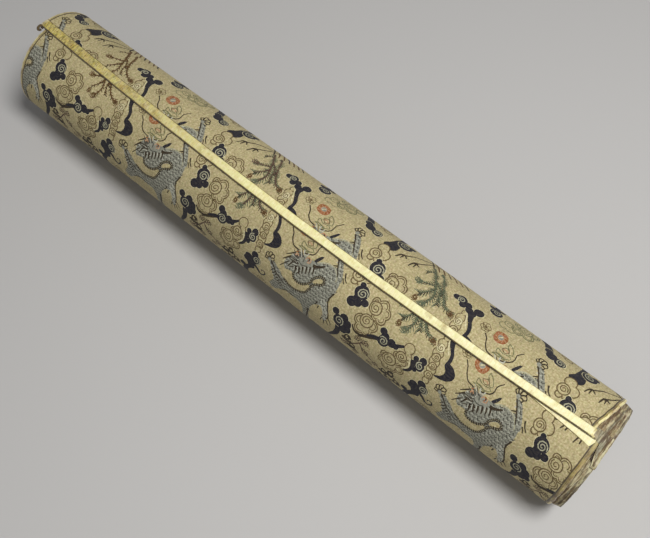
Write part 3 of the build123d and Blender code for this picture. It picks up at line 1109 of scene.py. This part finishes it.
def free_edge_band(materials):
    """The silk drawn over the batten: a low rounded strip whose front wall is worn and painted dark as
    shade, and whose rounded shoulders, the far one at the seam, are painted olive as shade.
    """
    skin = Skin()
    silk, wall, seam, left_fold, right_fold_highlight, frayed = range(len(materials))
    # Share of the way from the free edge to the seam, and height over the cover
    outline = [(0, -SUNK), (0, -0.5), (0, -0.1), (0.015, 0.14), (0.06, 0.3), (0.14, 0.38), (0.3, 0.42)]
    outline += [(0.5, 0.42), (0.7, 0.4), (0.84, 0.34), (0.93, 0.2), (0.985, 0.03), (1.0, -0.3)]
    outline += [(1.0, -SUNK), (0.6, -SUNK), (0.3, -SUNK)]
    # The walls take the dark worn silk, painted as shade too, and the two rounded shoulders take the olive
    # painted shade
    bands = [wall] * 3 + [seam] + [silk] * 6 + [seam] + [wall] * 5
    lean = rim_lean(90)
    left, right = RIM_LEFT + lean + 0.4, RIM_RIGHT + lean
    stations = 420
    rings = []
    for i in range(stations + 1):
        x = left + (right - left) * i / stations
        front = plan_curve(FREE_EDGE, x - lean) + waver(x, scale=16, size=0.16, seed=3) + 0.08
        back = plan_curve(LEADING_SEAM, x - lean) + waver(x, scale=11, size=0.1, seed=5)
        ring = []
        for share, height in outline:
            sway = waver(x, share * 4, scale=3.0, size=0.07, seed=7) if height > 0.2 else 0.0
            drop = 0.12 * max(0, 1 - (x - left) / 1.2) ** 2 if height > 0 else 0
            y = front + (back - front) * share
            ring.append(on_top(x, y, FRONT_Z, FLAP_RADIUS + height + sway - drop))
        rings.append(ring)
    skin.sweep(rings, bands, wall)
    # A pale fold shows at its left end
    skin.slots[: 2 * len(bands)] = [left_fold] * 2 * len(bands)
    # At the right the rim's fold, painted light as a highlight, and its frayed silk lie over it, cut at a
    # slant
    fold_width = 0.9
    for i in range(stations):
        for k in range(len(bands)):
            share = (outline[k][0] + outline[(k + 1) % len(bands)][0]) / 2
            past = left + (right - left) * (i + 0.5) / stations - (RIGHT_END - 0.9 * share)
            if past > 0:
                skin.slots[i * len(bands) + k] = right_fold_highlight if past < fold_width else frayed
    return skin.make("free_edge_silk", materials)


def trailing_band(materials):
    """The silk band at the cover's other end, mostly under the free edge."""
    skin = Skin()
    silk, wall, seam = range(len(materials))
    outline = [(0, -SUNK), (0, -0.3), (0.01, -0.06), (0.05, 0.1), (0.14, 0.16), (0.4, 0.18), (0.7, 0.12)]
    outline += [(0.9, 0.05), (1.0, -0.1), (1.0, -SUNK), (0.5, -SUNK)]
    # The walls take the dark worn silk, painted as shade too, and the front shoulder takes the olive
    # painted shade
    bands = [wall] * 2 + [seam] + [silk] * 5 + [wall] * 3
    lean = -rim_lean(90)
    left, right = RIM_LEFT + lean, RIM_RIGHT + lean
    stations = 260
    rings = []
    for i in range(stations + 1):
        x = left + (right - left) * i / stations
        front = plan_curve(TRAILING_SEAM, x - lean) + waver(x, scale=14, size=0.1, seed=11)
        back = plan_curve(TRAILING_EDGE, x - lean)
        ring = []
        for share, height in outline:
            y = front + (back - front) * share
            mitred = x + (1.4 * share - 3.4) * max(0, (x - right + 8) / 8)
            # Under the free edge it lies as flat as the cover does
            rise = height if height < 0 else height * share_of(plan_curve(FREE_EDGE, x), y, 1.5)
            centre_z, radius = (FRONT_Z, FRONT_RADIUS) if y < AXIS_Y else (BACK_Z, UNDER_RADIUS)
            ring.append(on_top(mitred, y, centre_z, radius + rise))
        rings.append(ring)
    skin.sweep(rings, bands, wall)
    return skin.make("trailing_silk", materials)


def rim_band(name, edge, inward, materials, seed):
    """The silk folded over a rim, all the way round: a light fold, a worn band and a seam painted dark as
    shade in its groove. At the right the fold's light is a painted highlight.
    """
    skin = Skin()
    band, fold, seam, lower_fold = range(len(materials))
    # How far in from the rim, and how deep below the cover's outer face
    outline = [(0.0, SUNK), (0.0, 0.4), (0.1, 0.12), (0.35, -0.02), (0.9, -0.1), (1.2, -0.1), (1.6, -0.02)]
    outline += [(1.65, 0.08), (2.0, 0.14), (RIM_BAND, 0.12), (RIM_BAND, SUNK), (1.2, SUNK)]
    # The seam's six sides lie in its groove and are painted dark as shade
    bands = [fold] * 4 + [band] * 2 + [seam] * 6
    # The seams at the rim's two ends
    seam_angle = leading_angle(edge)
    start, end, lean_at, lifted = seam_angle, trailing_angle(edge), rim_lean, 0.0
    if inward < 0:
        # At the right they run on, past the ends of the two strips, and the fold stands up there
        start, end = leading_angle(edge, FREE_EDGE), trailing_angle(edge, TRAILING_EDGE)
        lean_at, lifted = right_lean, 0.3
    steps = 320
    angles = [start + (end - start) * i / steps for i in range(steps + 1)]
    rings = []
    for angle in angles:
        lean = lean_at(angle)
        lift = lifted * share_of(angle, seam_angle, 2)
        ragged = waver(angle, scale=7, size=0.2, seed=seed)
        ragged += waver(angle, scale=2.4, size=0.12, seed=seed + 1)
        # Pressed flat where the roll rests
        low = share_of(abs(angle + 90), 8, 6)
        ring = []
        for into, depth in outline:
            share = 1 - into / RIM_BAND
            puff = waver(angle, into, scale=3.5, size=0.06, seed=seed + 2) if depth < 0.3 else 0.0
            sunk = depth + puff if depth > 0 else (depth + puff) * low
            if depth < SUNK:
                sunk -= lift * max(0, 1 - into / 0.9)
            x = edge + inward * into + lean + inward * ragged * share
            ring.append(on_turn(x, angle, sunk)[0])
        rings.append(ring)
    skin.sweep(rings, bands, fold)
    # Where the lower layer shows, the fold has no painted highlight and is browner
    for i in range(steps):
        if angles[i] < -180:
            skin.slots[i * len(bands) : i * len(bands) + 4] = [lower_fold] * 4
    return skin.make(name, materials)


def curl(materials):
    """The worn fold that has curled into a small loop at the free edge's left end."""
    skin = Skin()
    corner = plan_curve(FREE_EDGE, RIM_LEFT)
    centre = on_top(RIM_LEFT + rim_lean(90) + 1.2, corner - 1.2, FRONT_Z, FRONT_RADIUS + 0.9)
    steps, sides = 32, 8
    rings = []
    for i in range(steps + 1):
        angle = math.radians(-70 + 340 * i / steps)
        ring = []
        for k in range(sides):
            turn = 2 * math.pi * k / sides
            reach = 1.45 + 0.62 * math.cos(turn) + waver(angle, scale=0.8, size=0.15, seed=21)
            off = 0.8 * math.sin(turn), reach * math.cos(angle), 0.8 * reach * math.sin(angle)
            ring.append(centre + Vector(off) * MM)
        rings.append(ring)
    skin.sweep(rings, [0] * sides, 0)
    return skin.make("worn_curl", materials)


def winding():
    """The half turns of the wound sheet, from the outside in: centre height, radius, first angle."""
    space = UNDER_RADIUS - HALF_STEP - PAPER_THICKNESS - ROD_RADIUS
    count = int(space / ((PAPER_THICKNESS + PAPER_GAP) / 2))
    step = space / count
    rows = [(BACK_Z, UNDER_RADIUS, -90), (FRONT_Z, UNDER_RADIUS - HALF_STEP, 90)]
    for _ in range(count):
        (_, _, same_start), (last_z, last_radius, last_start) = rows[-2:]
        centre_z = last_z + step if same_start < last_start else last_z - step
        rows.append((centre_z, last_radius - step, same_start))
    return rows


# The steps that a layer of paper is divided into, in degrees
FINE, MEDIUM, COARSE = 1.0, 1.2, 4.0


def ply(skin, centre_z, radius, thickness, start, sweep, step, left, right, face, edge=LIT_EDGE):
    """One layer of paper round part of a turn. left and right give its ends by angle. Its end walls and
    caps take the edge slot, which by default is the light edge colour, a painted highlight.
    """
    count = max(2, round(sweep / step))
    slant = 0.1
    rings = []
    for i in range(count + 1):
        angle = start + sweep * i / count
        out_y, out_z = math.cos(math.radians(angle)), math.sin(math.radians(angle))
        low, high = left(angle), right(angle)
        ring = []
        for x, depth in ((low, 0), (high, 0), (high - slant, thickness), (low + slant, thickness)):
            reach = radius - depth
            ring.append(Vector((x, AXIS_Y + reach * out_y, centre_z + reach * out_z)) * MM)
        rings.append(ring)
    skin.sweep(rings, [face, edge, face, edge], edge)


# The free edge's angle at the right, past which the cover's lower layer bounds the paper
FLAP_END = 97
# How far the paper stands out of the rim at least, and how far a tear may pass its end
PROUD, TORN_PAST = 0.5, 0.15


def torn_edge(angle, layer, seed):
    """Where a layer of the outer turn ends at the right: in even steps out from the rim, roughly torn."""
    below = share_of(angle, FLAP_END, 6)
    lean = right_lean(angle)
    if below > 0:
        lean = right_lean(FLAP_END) * (1 - below) + right_lean(angle - 360) * below
    rim = RIM_RIGHT + lean
    share = (layer + 1) / PLIES
    torn = waver(angle, scale=9, size=0.5, seed=seed) + waver(angle, scale=2.2, size=0.3, seed=seed)
    return min(rim + PROUD + (PAPER_END - rim - PROUD) * share + torn, PAPER_END + TORN_PAST)


def layered(skin, centre_z, radius, start, sweep, left, seed):
    """Part of the outer turn, in layers that are torn at the right."""
    thickness = PAPER_THICKNESS / PLIES
    for layer, colour in enumerate(PLY_COLOURS):

        def right(angle):
            return torn_edge(angle, layer, seed + layer)

        outer = radius - layer * thickness
        ply(skin, centre_z, outer, thickness * 0.98, start, sweep, MEDIUM, left, right, colour)


def frayed_end(skin):
    """Past the top, the lead-in frays out into slivers beside a gap, whose floor is a dark sheet of painted
    shadow.
    """
    rim = RIM_RIGHT + right_lean(-260) + 0.15
    width = PAPER_END - rim

    def along_rim(angle):
        return rim

    def at_end(angle):
        return PAPER_END - 0.2 + waver(angle, scale=5, size=0.2, seed=81)

    def under_top(angle):
        rise = share_of(angle, FRAY_ANGLE, SLIVER_ANGLE - FRAY_ANGLE) ** 1.2
        fall = 1 - (angle - SLIVER_ANGLE) / 34
        return rim + width * max(0.05, min(rise, fall, 0.97)) + waver(angle, scale=2, size=0.2, seed=83)

    # The gap's floor, a dark sheet of painted shadow, and the layer that comes up past it
    floor_radius = FRONT_RADIUS - HALF_STEP * 1.6
    floor_thickness, thickness = 0.15, 0.2
    start = 100
    sweep = SLIVER_ANGLE - 1 - start
    ply(skin, FRONT_Z, floor_radius, floor_thickness, start, sweep, MEDIUM, along_rim, at_end, GAP_SHADE, GAP_SHADE)
    radius = floor_radius + floor_thickness
    sweep = SLIVER_ANGLE + 30 - FRAY_ANGLE
    ply(skin, FRONT_Z, radius, thickness, FRAY_ANGLE, sweep, FINE, along_rim, under_top, PALE)
    # The slivers, which start under the free edge
    start = 89
    for layer, (short, colour) in enumerate(((4, GREY), (2, BROWN), (0, PALE))):
        reach = SLIVER_ANGLE - short

        def left(angle):
            share = 0.12 * share_of(angle, 98, 6) + 0.88 * share_of(angle, 105.5, reach - 105.5)
            torn = waver(angle, scale=3, size=0.15, seed=90 + layer)
            flap = RIM_RIGHT + right_lean(FLAP_END) + 0.2 + 1.1 * layer
            below = share_of(angle, FLAP_END, 4)
            return flap * (1 - below) + (rim + (width - 0.4 - 0.5 * layer) * share - 0.1) * below + torn

        def right(angle):
            torn = waver(angle, scale=4, size=0.35, seed=94 + layer)
            past = 0.6 * share_of(angle, 105, 12)
            return max(left(angle) + 0.15, at_end(angle) + past - (1.7 - 0.85 * layer) + torn)

        radius = FRONT_RADIUS + 0.14 - 0.12 * layer
        ply(skin, FRONT_Z, radius, thickness, start, reach - start, FINE, left, right, colour)


def wound_sheet(materials):
    """All the turns of the paper, with torn and uneven edges at both ends."""
    skin = Skin()
    drift = (INNER_SHIFT - OUTER_SHIFT) / (UNDER_RADIUS - ROD_RADIUS)
    for index, (centre_z, radius, start) in enumerate(winding()):
        shift = INNER_SHIFT - (radius - ROD_RADIUS) * drift

        def left(angle):
            return RIM_LEFT + shift + waver(angle, scale=6, size=0.2, seed=81 + index)

        def right(angle):
            return RIM_RIGHT + shift + min(waver(angle, scale=9, size=0.25, seed=31 + index), TORN_PAST)

        if index < 2:
            sweep = 180.0 if index else 180.0 - OVERLAP
            layered(skin, centre_z, radius, start, sweep, left, 31 + 7 * index)
        else:
            step = MEDIUM if index < 4 else COARSE
            ply(skin, centre_z, radius, PAPER_THICKNESS, start, 180.0, step, left, right, CREAM)
    # The outer turn's lead-in, under the cover's other end
    layered(skin, BACK_Z, UNDER_RADIUS, 90 - OVERLAP, OVERLAP, lambda angle: RIM_LEFT + OUTER_SHIFT, 38)
    frayed_end(skin)
    return skin.make("paper", materials)


# Materials


class Shader:
    """A material's node tree, with short ways to add what the finishes need."""

    def __init__(self, name, roughness, sheen=0.0):
        self.material = bpy.data.materials.new(name)
        self.material.use_nodes = True
        self.nodes = self.material.node_tree.nodes
        self.links = self.material.node_tree.links
        self.surface = self.nodes["Principled BSDF"]
        self.surface.inputs["Roughness"].default_value = roughness
        self.surface.inputs["Sheen Weight"].default_value = sheen
        self.surface.inputs["Sheen Roughness"].default_value = 0.45

    def add(self, kind, inputs=None, **settings):
        node = self.nodes.new(kind)
        for name, value in settings.items():
            setattr(node, name, value)
        for name, value in (inputs or {}).items():
            if isinstance(value, bpy.types.NodeSocket):
                self.links.new(value, node.inputs[name])
            else:
                node.inputs[name].default_value = value
        return node

    def flat(self):
        """The cloth's flat coordinates."""
        return self.add("ShaderNodeAttribute", attribute_name="flat").outputs["Vector"]

    def place(self):
        """The object's own coordinates."""
        return self.add("ShaderNodeTexCoord").outputs["Object"]

    def scaled(self, vector, scale, turn=0.0):
        node = self.add("ShaderNodeMapping", {"Vector": vector, "Scale": scale, "Rotation": (0, 0, turn)})
        return node.outputs["Vector"]

    def noise(self, vector, scale, detail=3.0, roughness=0.55):
        inputs = {"Vector": vector, "Scale": scale, "Detail": detail, "Roughness": roughness}
        return self.add("ShaderNodeTexNoise", inputs).outputs["Fac"]

    def ranged(self, value, low, high, to_low=0.0, to_high=1.0):
        inputs = {"Value": value, "From Min": low, "From Max": high, "To Min": to_low, "To Max": to_high}
        return self.add("ShaderNodeMapRange", inputs).outputs["Result"]

    def sum(self, operation, a, b):
        node = self.add("ShaderNodeMath", {0: a, 1: b}, operation=operation)
        return node.outputs["Value"]

    def mix(self, factor, a, b):
        node = self.add("ShaderNodeMix", data_type="RGBA")
        for index, value in ((0, factor), (6, a), (7, b)):
            if isinstance(value, bpy.types.NodeSocket):
                self.links.new(value, node.inputs[index])
            else:
                node.inputs[index].default_value = value
        return node.outputs[2]

    def bump(self, height, strength, distance):
        node = self.add("ShaderNodeBump", {"Height": height, "Strength": strength, "Distance": distance})
        self.links.new(node.outputs["Normal"], self.surface.inputs["Normal"])

    def colour(self, socket):
        self.links.new(socket, self.surface.inputs["Base Color"])


def tone(colour, factor):
    """A colour made darker or lighter by a factor."""
    return tuple(channel * factor for channel in colour[:3]) + (1.0,)


def weave(s, where, pitch):
    """A height field of over and under threads, from 0 to 1."""
    steps = 2 * math.pi / pitch
    parts = s.add("ShaderNodeSeparateXYZ", {"Vector": where})
    along = s.sum("SINE", s.sum("MULTIPLY", parts.outputs["X"], steps), 0.0)
    across = s.sum("SINE", s.sum("MULTIPLY", parts.outputs["Y"], steps), 0.0)
    return s.ranged(s.sum("MULTIPLY", along, across), -1.0, 1.0)


def aged(s, colour, where, size, strength):
    """A colour with the small uneven patches of light and shade that old cloth has."""
    patches = s.noise(where, 1000.0 / size, 3.0, 0.65)
    hues = s.noise(where, 620.0 / size, 2.0)
    inputs = {
        "Hue": s.ranged(hues, 0.3, 0.7, 0.487, 0.513),
        "Saturation": s.ranged(patches, 0.3, 0.7, 1.12, 0.85),
        "Value": s.ranged(patches, 0.32, 0.68, 1 - strength, 1 + strength),
        "Color": colour,
    }
    return s.add("ShaderNodeHueSaturation", inputs).outputs["Color"]


def brocade_silk(name, colour, thread, fleck):
    """One colour of the figured silk: woven threads, worn flecks and slow changes of tone."""
    s = Shader(name, 0.8, 0.04)
    s.surface.inputs["Specular IOR Level"].default_value = 0.25
    where = s.flat()
    threads = s.noise(s.scaled(where, (0.45, 1.0, 1.0)), 1500.0, 2.0)
    slub = s.noise(s.scaled(where, (1.0, 0.3, 1.0)), 800.0, 2.0)
    slow = s.noise(where, 22.0, 4.0)
    base = s.mix(s.ranged(slow, 0.3, 0.7), tone(colour, 0.9), tone(colour, 1.06))
    woven = s.mix(s.ranged(threads, 0.42, 0.62, 0.0, thread), base, fleck)
    dark = s.mix(s.ranged(slub, 0.35, 0.55, 0.35, 0.0), woven, tone(colour, 0.5))
    s.colour(aged(s, dark, where, 0.9, 0.3))
    height = s.sum("ADD", weave(s, where, 0.00055), s.sum("MULTIPLY", threads, 1.4))
    s.bump(height, 0.35, 0.00012)
    return s.material


def strip_silk(name):
    """The strips' yellow silk: olive and worn at the left, paler to the right, with fine slanting ribs."""
    s = Shader(name, 0.6, 0.3)
    where = s.place()
    x = s.add("ShaderNodeSeparateXYZ", {"Vector": where}).outputs["X"]
    left = s.mix(s.ranged(x, -0.17, -0.02), srgb(160, 140, 76), srgb(243, 235, 172))
    base = s.mix(s.ranged(x, -0.02, 0.12), left, srgb(243, 236, 184))
    greened = s.mix(s.ranged(s.noise(where, 260.0, 3.0, 0.6), 0.5, 0.6, 0.0, 0.6), base, srgb(116, 112, 54))
    base = s.mix(s.ranged(x, -0.12, -0.07), greened, base)
    wear = s.noise(where, 130.0, 5.0, 0.65)
    limit = s.ranged(x, -0.17, 0.0, 0.47, 0.6)
    worn = s.sum("MULTIPLY", s.sum("SUBTRACT", wear, limit), 9.0)
    browned = s.mix(s.ranged(worn, 0.0, 1.0, 0.0, 0.55), base, srgb(142, 112, 58))
    ribs = s.noise(s.scaled(where, (1.0, 0.2, 0.2), 0.5), 1500.0, 2.0)
    ribbed = s.mix(s.ranged(ribs, 0.4, 0.6, 0.25, 0.0), browned, srgb(196, 178, 104))
    fine = s.noise(s.scaled(where, (1.0, 0.2, 0.2), 0.5), 2300.0, 2.0)
    deep = s.mix(s.ranged(fine, 0.45, 0.6, 0.0, 0.7), ribbed, srgb(230, 210, 110))
    deep = s.mix(s.ranged(fine, 0.36, 0.48, 0.7, 0.0), deep, srgb(100, 84, 32))
    # The ribs show most at the worn left end
    faded = s.mix(s.ranged(x, -0.17, -0.03), deep, ribbed)
    s.colour(aged(s, faded, where, 1.6, 0.08))
    s.bump(ribs, 0.35, 0.00015)
    return s.material


def plain_silk(name, colour, worn, fleck):
    """The bindings' silk, ribbed across, with worn places."""
    s = Shader(name, 0.6, 0.3)
    where = s.place()
    ribs = s.noise(s.scaled(where, (1.0, 0.12, 0.12)), 1500.0, 2.0)
    wear = s.noise(where, 160.0, 5.0, 0.6)
    base = s.mix(s.ranged(wear, 0.42, 0.6), colour, worn)
    ribbed = s.mix(s.ranged(ribs, 0.45, 0.65, 0.0, 0.5), base, fleck)
    s.colour(aged(s, ribbed, where, 1.4, 0.15))
    s.bump(ribs, 0.5, 0.0002)
    return s.material


def paper(name, colour, stain):
    """Old paper in torn layers, its streaks running round the roll."""
    s = Shader(name, 0.85)
    # Across the sheet on its outside, and across the turns on its ends
    across = s.add("ShaderNodeVectorMath", {0: s.place(), 1: (0.0, 1.0, 1.0)}, operation="MULTIPLY")
    centre = (0.0, AXIS_Y * MM, ROLL_RADIUS * MM)
    reach = s.add("ShaderNodeVectorMath", {0: across.outputs["Vector"], 1: centre}, operation="DISTANCE")
    parts = s.add("ShaderNodeSeparateXYZ", {"Vector": s.place()})
    over = s.sum("ADD", parts.outputs["X"], reach.outputs["Value"])
    bent = s.add("ShaderNodeCombineXYZ", {"X": over, "Y": parts.outputs["Y"], "Z": parts.outputs["Z"]})
    where = bent.outputs["Vector"]
    layers = s.noise(s.scaled(where, (1.0, 0.09, 0.09)), 1700.0, 3.0, 0.65)
    blots = s.noise(s.scaled(where, (1.0, 0.3, 0.3)), 420.0, 4.0, 0.6)
    base = s.mix(s.ranged(blots, 0.42, 0.62), colour, stain)
    lit = s.mix(s.ranged(layers, 0.38, 0.46, 0.6, 0.0), base, srgb(206, 196, 160))
    streaked = s.mix(s.ranged(layers, 0.49, 0.58, 0.0, 0.75), lit, srgb(78, 61, 42))
    s.colour(aged(s, streaked, where, 1.4, 0.15))
    s.bump(layers, 0.6, 0.0004)
    return s.material


def wood(name):
    """Plain wood, its grain along the roll."""
    s = Shader(name, 0.6)
    where = s.place()
    grain = s.noise(s.scaled(where, (0.08, 1.0, 1.0)), 900.0, 4.0, 0.6)
    s.colour(s.mix(s.ranged(grain, 0.3, 0.7), srgb(150, 112, 70), srgb(96, 66, 40)))
    s.bump(grain, 0.3, 0.0002)
    return s.material


# The figured silk's colours: each with how far its threads show, and their own colour
COLOURS = {
    "ground": ((190, 176, 131), 0.35, (157, 143, 99)),
    "pale": ((214, 204, 160), 0.35, (176, 160, 114)),
    "navy": ((31, 30, 39), 0.45, (76, 70, 60)),
    "dark": ((52, 43, 31), 0.35, (96, 82, 55)),
    "steel": ((140, 140, 125), 0.45, (164, 160, 140)),
    "steel_light": ((188, 187, 168), 0.4, (146, 146, 132)),
    "slate": ((80, 79, 70), 0.4, (122, 118, 104)),
    "brown": ((100, 84, 54), 0.4, (132, 114, 76)),
    "olive": ((112, 112, 78), 0.4, (142, 134, 92)),
    "cream": ((178, 174, 144), 0.4, (122, 120, 98)),
    "red": ((152, 92, 54), 0.4, (174, 130, 86)),
    "rose": ((180, 138, 102), 0.4, (196, 166, 128)),
    "green": ((88, 97, 74), 0.4, (132, 128, 94)),
    "plum": ((86, 64, 54), 0.35, (128, 106, 76)),
    "tan": ((88, 62, 32), 0.3, (132, 106, 62)),
}

# The bindings' silks: each with its worn places and its lighter ribs
SILKS = {
    # The strips' dark edge silk is worn, and is also painted on their walls as shade; the olive edge silk
    # is painted shade on their rounded shoulders
    "worn_shaded_edge": ((92, 72, 38), (60, 46, 26), (128, 104, 58)),
    "olive_shoulder_shade": ((158, 140, 76), (104, 86, 44), (186, 170, 104)),
    "left_silk": ((166, 150, 100), (128, 110, 70), (192, 178, 128)),
    "left_fold": ((214, 200, 150), (160, 140, 94), (232, 220, 176)),
    "right_silk": ((150, 132, 78), (96, 78, 48), (182, 166, 104)),
    # The right fold's light colour is a painted highlight
    "right_fold_highlight": ((232, 218, 152), (156, 128, 78), (242, 232, 180)),
    "under_fold": ((160, 140, 88), (104, 82, 50), (196, 178, 120)),
    "worn_end": ((158, 144, 108), (104, 86, 60), (206, 196, 158)),
    # The seam silk is painted dark as shade in the rims' grooves
    "shaded_seam": ((74, 62, 38), (52, 42, 28), (104, 88, 52)),
}

# The papers, in the order of their slots: each with the colour of its stains
PAPERS = {
    "paper_brown": ((132, 112, 80), (96, 78, 54)),
    "paper_cream": ((188, 176, 136), (140, 120, 86)),
    "paper_grey": ((146, 140, 116), (102, 88, 66)),
    "paper_pale": ((194, 184, 146), (152, 134, 98)),
    # The layers' lighter edge colour is a painted highlight on their end walls
    "paper_edge_highlight": ((204, 194, 154), (130, 108, 76)),
    # A dark sheet of painted shadow for the gap at the frayed end
    "paper_gap_shade": ((44, 35, 26), (32, 26, 19)),
}

materials = {
    name: brocade_silk("silk_" + name, srgb(*colour), thread, srgb(*fleck))
    for name, (colour, thread, fleck) in COLOURS.items()
}
silks = {"yellow_silk": strip_silk("yellow_silk")}
for name, colours in SILKS.items():
    silks[name] = plain_silk(name, *(srgb(*colour) for colour in colours))
papers = [paper(name, srgb(*colour), srgb(*stain)) for name, (colour, stain) in PAPERS.items()]

for node, material in (
    ("leading_binding", silks["yellow_silk"]),
    ("trailing_binding", silks["yellow_silk"]),
    ("left_rim_binding", silks["left_silk"]),
    ("right_rim_binding", silks["right_silk"]),
    ("leading_batten", wood("batten_wood")),
    ("rod", wood("rod_wood")),
    ("paper_roll", papers[CREAM]),
):
    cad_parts[node].data.materials.clear()
    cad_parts[node].data.materials.append(material)


def silks_of(*names):
    """The bindings' silks by name, in the order of a piece's slots."""
    return [silks[name] for name in names]


# The strips' silk, then the dark worn silk painted as shade on their walls, then the olive painted shade on
# their shoulders
strip = silks_of("yellow_silk", "worn_shaded_edge", "olive_shoulder_shade")
free_edge = free_edge_band(strip + silks_of("left_fold", "right_fold_highlight", "worn_end"))
other_end = trailing_band(strip)
left_silks = silks_of("left_silk", "left_fold", "shaded_seam", "left_fold")
left_rim = rim_band("left_rim_silk", RIM_LEFT, 1, left_silks, 13)
right_silks = silks_of("right_silk", "right_fold_highlight", "shaded_seam", "under_fold")
right_rim = rim_band("right_rim_silk", RIM_RIGHT, -1, right_silks, 17)
for piece, node, slot in (
    (free_edge, "leading_binding", "yellow_silk"),
    (other_end, "trailing_binding", "yellow_silk"),
    (left_rim, "left_rim_binding", "worn_silk"),
    (right_rim, "right_rim_binding", "worn_silk"),
    (wound_sheet(papers), "paper_roll", "paper"),
):
    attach(piece, "root")
    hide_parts(node)
loop = curl(silks_of("worn_shaded_edge"))
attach(loop, "root")

cover = make_cover(materials)
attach(cover, "root")
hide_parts("brocade_cover")

# The stage: a pale floor, a small and a large soft lamp, and a plain sky
FLOOR_REACH = 4.0
FLOOR_COLOUR = (192, 190, 187)
floor_corners = [(x * FLOOR_REACH, y * FLOOR_REACH, 0) for x, y in ((-1, -1), (1, -1), (1, 1), (-1, 1))]
floor_mesh = bpy.data.meshes.new("floor")
floor_mesh.from_pydata(floor_corners, [], [(0, 1, 2, 3)])
floor = linked("floor", floor_mesh)
floor_material = Shader("floor", 0.9)
floor_material.surface.inputs["Base Color"].default_value = srgb(*FLOOR_COLOUR)
floor_mesh.materials.append(floor_material.material)


def aimed(thing, way):
    """Turns a lamp or a camera to look along a way."""
    thing.rotation_euler = way.to_track_quat("-Z", "Y").to_euler()


def lamp(name, place, target, size, power):
    """A round soft lamp at a place, aimed at a target, in metres and watts."""
    light = bpy.data.lights.new(name, "AREA")
    light.shape = "DISK"
    light.size = size
    light.energy = power
    holder = linked(name, light)
    holder.location = place
    aimed(holder, Vector(target) - Vector(place))


lamp("key", (0.31, 0.02, 0.8), (0.05, 0, 0), 0.32, 6.05)
lamp("fill", (0.1, -1.1, 1.0), (0, 0, 0), 1.2, 1.2)

# The sky's light on the object, and how it looks to the camera and in gloss
SKY_COLOUR = (235, 236, 240)
SKY_LIGHT = 0.18
SKY_SEEN = 0.6
world = bpy.data.worlds.new("sky")
world.use_nodes = True
sky_nodes, sky_links = world.node_tree.nodes, world.node_tree.links
background = sky_nodes["Background"].inputs
background["Color"].default_value = srgb(*SKY_COLOUR)
rays = sky_nodes.new("ShaderNodeLightPath")
seen = rays.outputs["Is Camera Ray"]
for other in ("Is Glossy Ray", "Is Transmission Ray"):
    either = sky_nodes.new("ShaderNodeMath")
    either.operation = "MAXIMUM"
    sky_links.new(seen, either.inputs[0])
    sky_links.new(rays.outputs[other], either.inputs[1])
    seen = either.outputs["Value"]
level = sky_nodes.new("ShaderNodeMapRange")
level.inputs["To Min"].default_value = SKY_LIGHT
level.inputs["To Max"].default_value = SKY_SEEN
sky_links.new(seen, level.inputs["Value"])
sky_links.new(level.outputs["Result"], background["Strength"])
bpy.context.scene.world = world

# The camera, where the photograph was taken from: its focal length in the photograph's own
# pixels, its place in metres, and its heading and pitch in radians
PHOTO_WIDTH = 650
FOCAL_PIXELS = 850.24
SENSOR_WIDTH = 36
CAMERA_PLACE = (0.14397, -0.14724, 0.37883)
HEADING, PITCH = 2.275, -1.083
camera_data = bpy.data.cameras.new("camera")
camera_data.sensor_width = SENSOR_WIDTH
camera_data.lens = SENSOR_WIDTH * FOCAL_PIXELS / PHOTO_WIDTH
camera_data.clip_start = 0.01
camera = linked("camera", camera_data)
camera.location = CAMERA_PLACE
level_x, level_y = around(0, 0, math.cos(PITCH), HEADING)
aimed(camera, Vector((level_x, level_y, math.sin(PITCH))))
bpy.context.scene.camera = camera
bpy.context.scene.view_settings.view_transform = "Standard"
